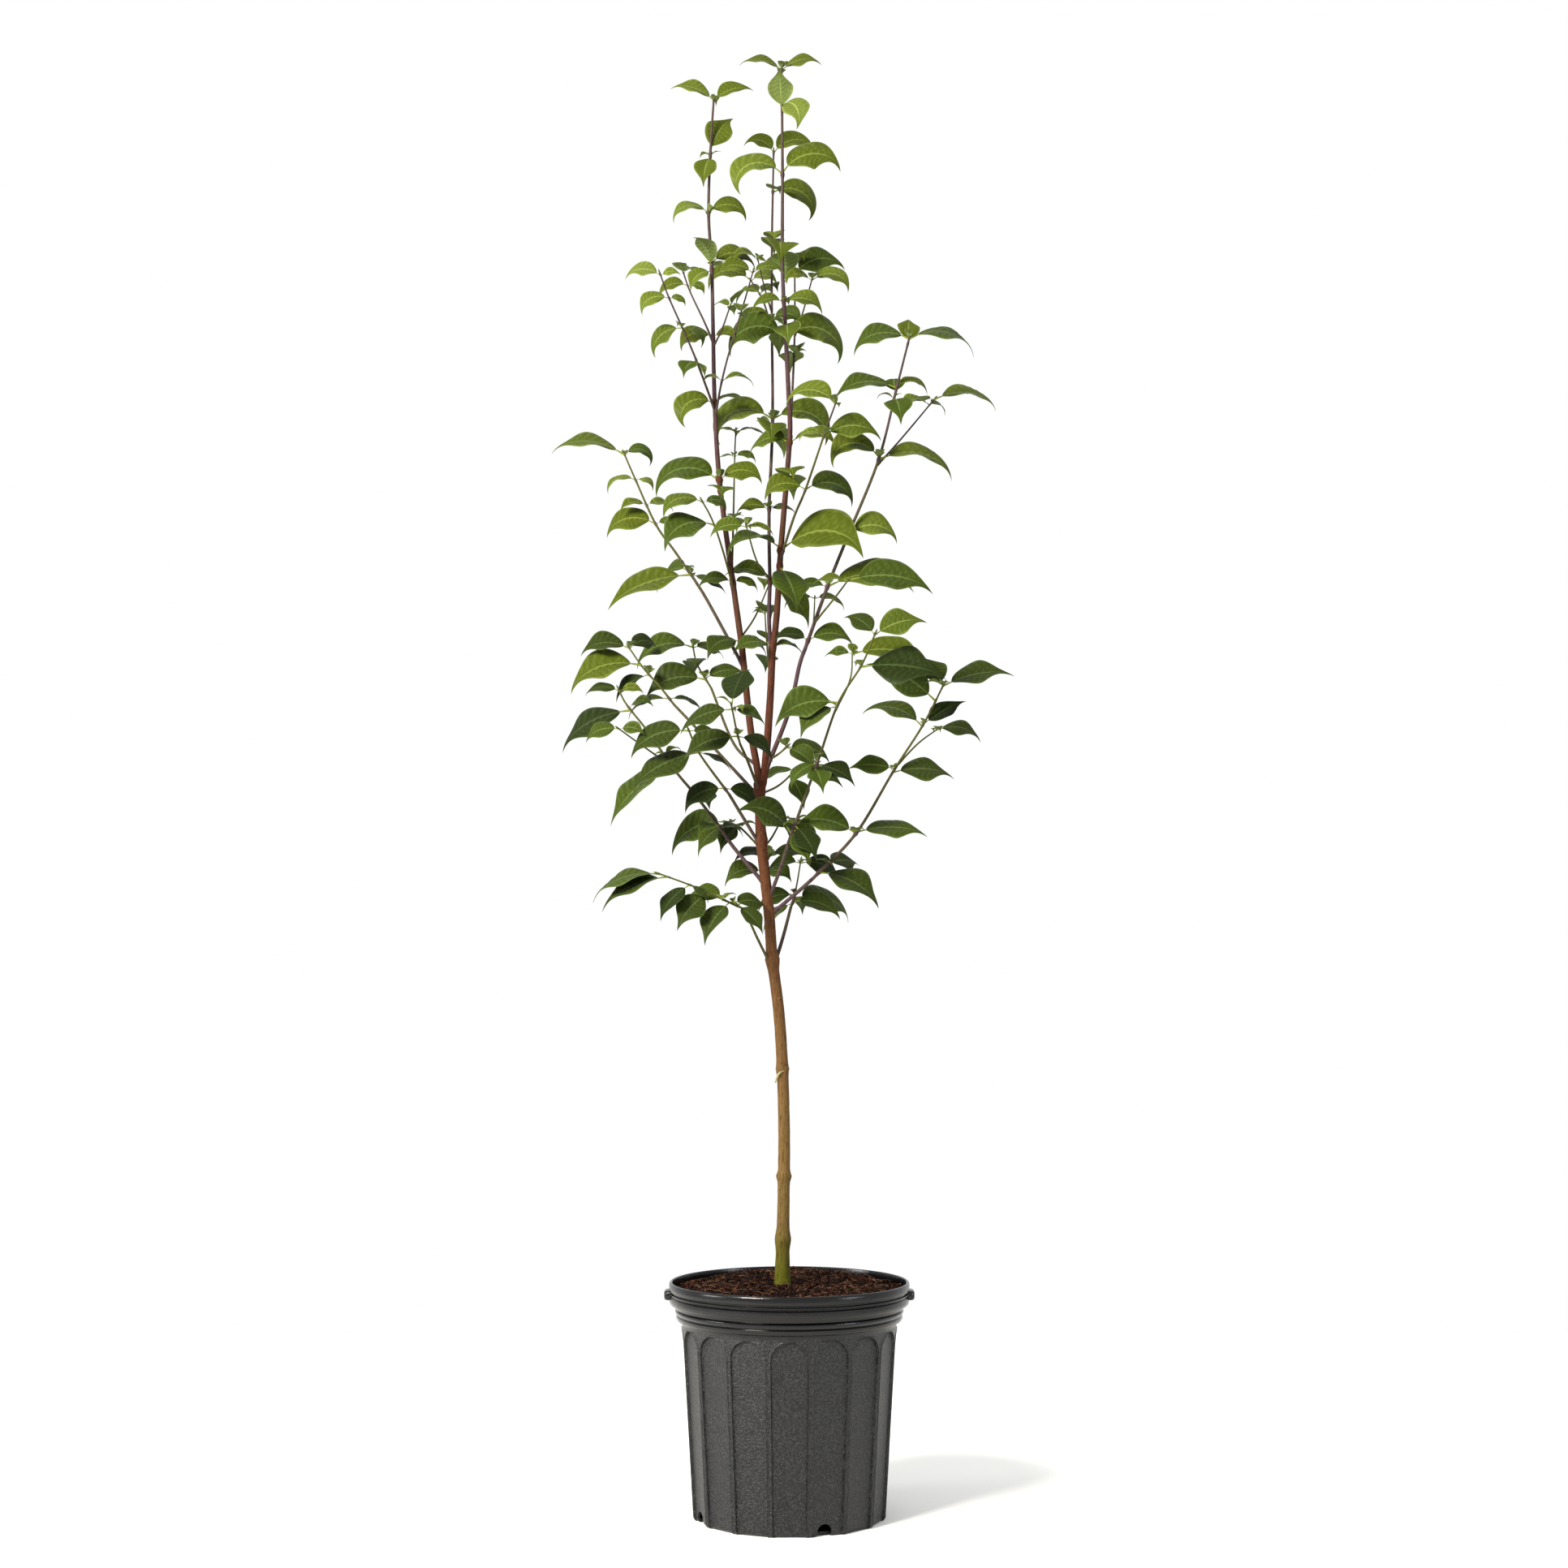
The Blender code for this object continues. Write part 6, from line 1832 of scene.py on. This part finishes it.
    def add_fibre(self, batch: Batch, draw: random.Random) -> None:
        """Adds one fibre: a thin strand that lies over the chips in a slack curve."""
        length = self.fibre_mm[0] + (self.fibre_mm[1] - self.fibre_mm[0]) * draw.random() ** 2
        x, y = self.spot(draw, 6.0)
        turn, bend = draw.uniform(0, 2 * math.pi), draw.gauss(0, 0.7)
        radius, steps, lift = draw.uniform(0.12, 0.3), self.fibre_steps, draw.uniform(0.5, 2.6)
        rings = []
        for step in range(steps + 1):
            share = step / steps
            if math.hypot(x, y) > self.radius - 4:
                break
            heading = Vector((math.cos(turn), math.sin(turn), 0))
            side = Vector((-heading.y, heading.x, 0))
            middle = Vector((x, y, self.level(x, y) + 0.6 + lift * math.sin(math.pi * share)))
            thin = radius * (1 - 0.5 * abs(2 * share - 1))
            rings.append([middle + side * thin * math.cos(a) + Vector((0, 0, thin * math.sin(a)))
                          for a in self.fibre_corners])
            x += heading.x * length / steps
            y += heading.y * length / steps
            turn += bend / steps + draw.gauss(0, 0.1)
        if len(rings) > 2:
            batch.add_loft(rings, draw.choice((Grain.FIBRE, Grain.FIBRE, Grain.WOOD)).slot)


# The studio

@dataclass(frozen=True)
class SoftLight:
    """One square soft light of the studio."""

    name: str
    place: tuple
    aim: tuple
    size: float  # its side
    power: float  # watts
    tint: str

    def build(self) -> None:
        """Adds the light."""
        data = bpy.data.lights.new(self.name, "AREA")
        data.size, data.energy, data.color = self.size, self.power, linear(self.tint)[:3]
        light = bpy.data.objects.new(self.name, data)
        light.location = self.place
        way = Vector(self.aim) - Vector(self.place)
        light.rotation_euler = way.to_track_quat("-Z", "Y").to_euler()
        bpy.context.scene.collection.objects.link(light)


@dataclass
class Studio:
    """The pale floor, soft lights and the camera at the photograph's viewing angle, in metres."""

    LIGHTS = (
        SoftLight("key", (-1.9, -2.2, 2.5), (0, 0, 1.15), 1.0, 290.0, "#fff9ee"),
        SoftLight("fill", (2.4, -1.4, 0.7), (0, 0, 0.3), 0.6, 16.0, "#f4f7ff"),
        SoftLight("side", (-1.7, -0.4, 0.6), (0, 0, 0.3), 0.5, 13.0, "#ffffff"),
    )

    camera_at: tuple = (-0.0062, -3.0, 0.66)
    camera_tilt: float = 3.63
    focal_mm: float = 58.5
    sensor_mm: float = 36.0
    floor_size: float = 2.8
    floor_colour: str = "#ecece9"
    surroundings: str = "#ffffff"

    def build(self) -> None:
        """Builds the floor, the lights, the surroundings and the camera."""
        self.add_floor()
        for light in self.LIGHTS:
            light.build()
        world = bpy.data.worlds.new("studio")
        bpy.context.scene.world = world
        bpy.context.scene.view_settings.view_transform = "Standard"
        world.use_nodes = True
        background = world.node_tree.nodes["Background"]
        background.inputs["Color"].default_value = linear(self.surroundings)
        background.inputs["Strength"].default_value = 1.0
        data = bpy.data.cameras.new("camera")
        data.lens, data.sensor_width = self.focal_mm, self.sensor_mm
        camera = bpy.data.objects.new("camera", data)
        camera.location = self.camera_at
        camera.rotation_euler = (math.radians(90 + self.camera_tilt), 0, 0)
        bpy.context.scene.collection.objects.link(camera)
        bpy.context.scene.camera = camera

    def add_floor(self) -> None:
        """Adds the wide pale floor."""
        half = self.floor_size / 2
        corners = [(-half, -half, 0), (half, -half, 0), (half, half, 0), (-half, half, 0)]
        mesh = bpy.data.meshes.new("floor")
        mesh.from_pydata(corners, [], [(0, 1, 2, 3)])
        made, shader = new_material("paper_sweep_matt", 0.9, 1.45, 0.1)
        shader.inputs["Base Color"].default_value = linear(self.floor_colour)
        mesh.materials.append(made)
        floor = bpy.data.objects.new("floor", mesh)
        bpy.context.scene.collection.objects.link(floor)


def main() -> None:
    """Builds the plant, the pot, the bed and the studio."""
    logging.basicConfig(level=logging.INFO, format="%(name)s: %(message)s")
    tree = Tree()
    log.info("%d leaves on %d limbs", len(tree.leaves), len(tree.limbs))
    pieces = [*Foliage(tree).build(), *Wood(tree).build(), Pot().build(), *Bed().build()]
    log.info("%d pieces with %d faces", len(pieces), sum(len(piece.data.polygons) for piece in pieces))
    Studio().build()


if __name__ == "__main__":
    main()
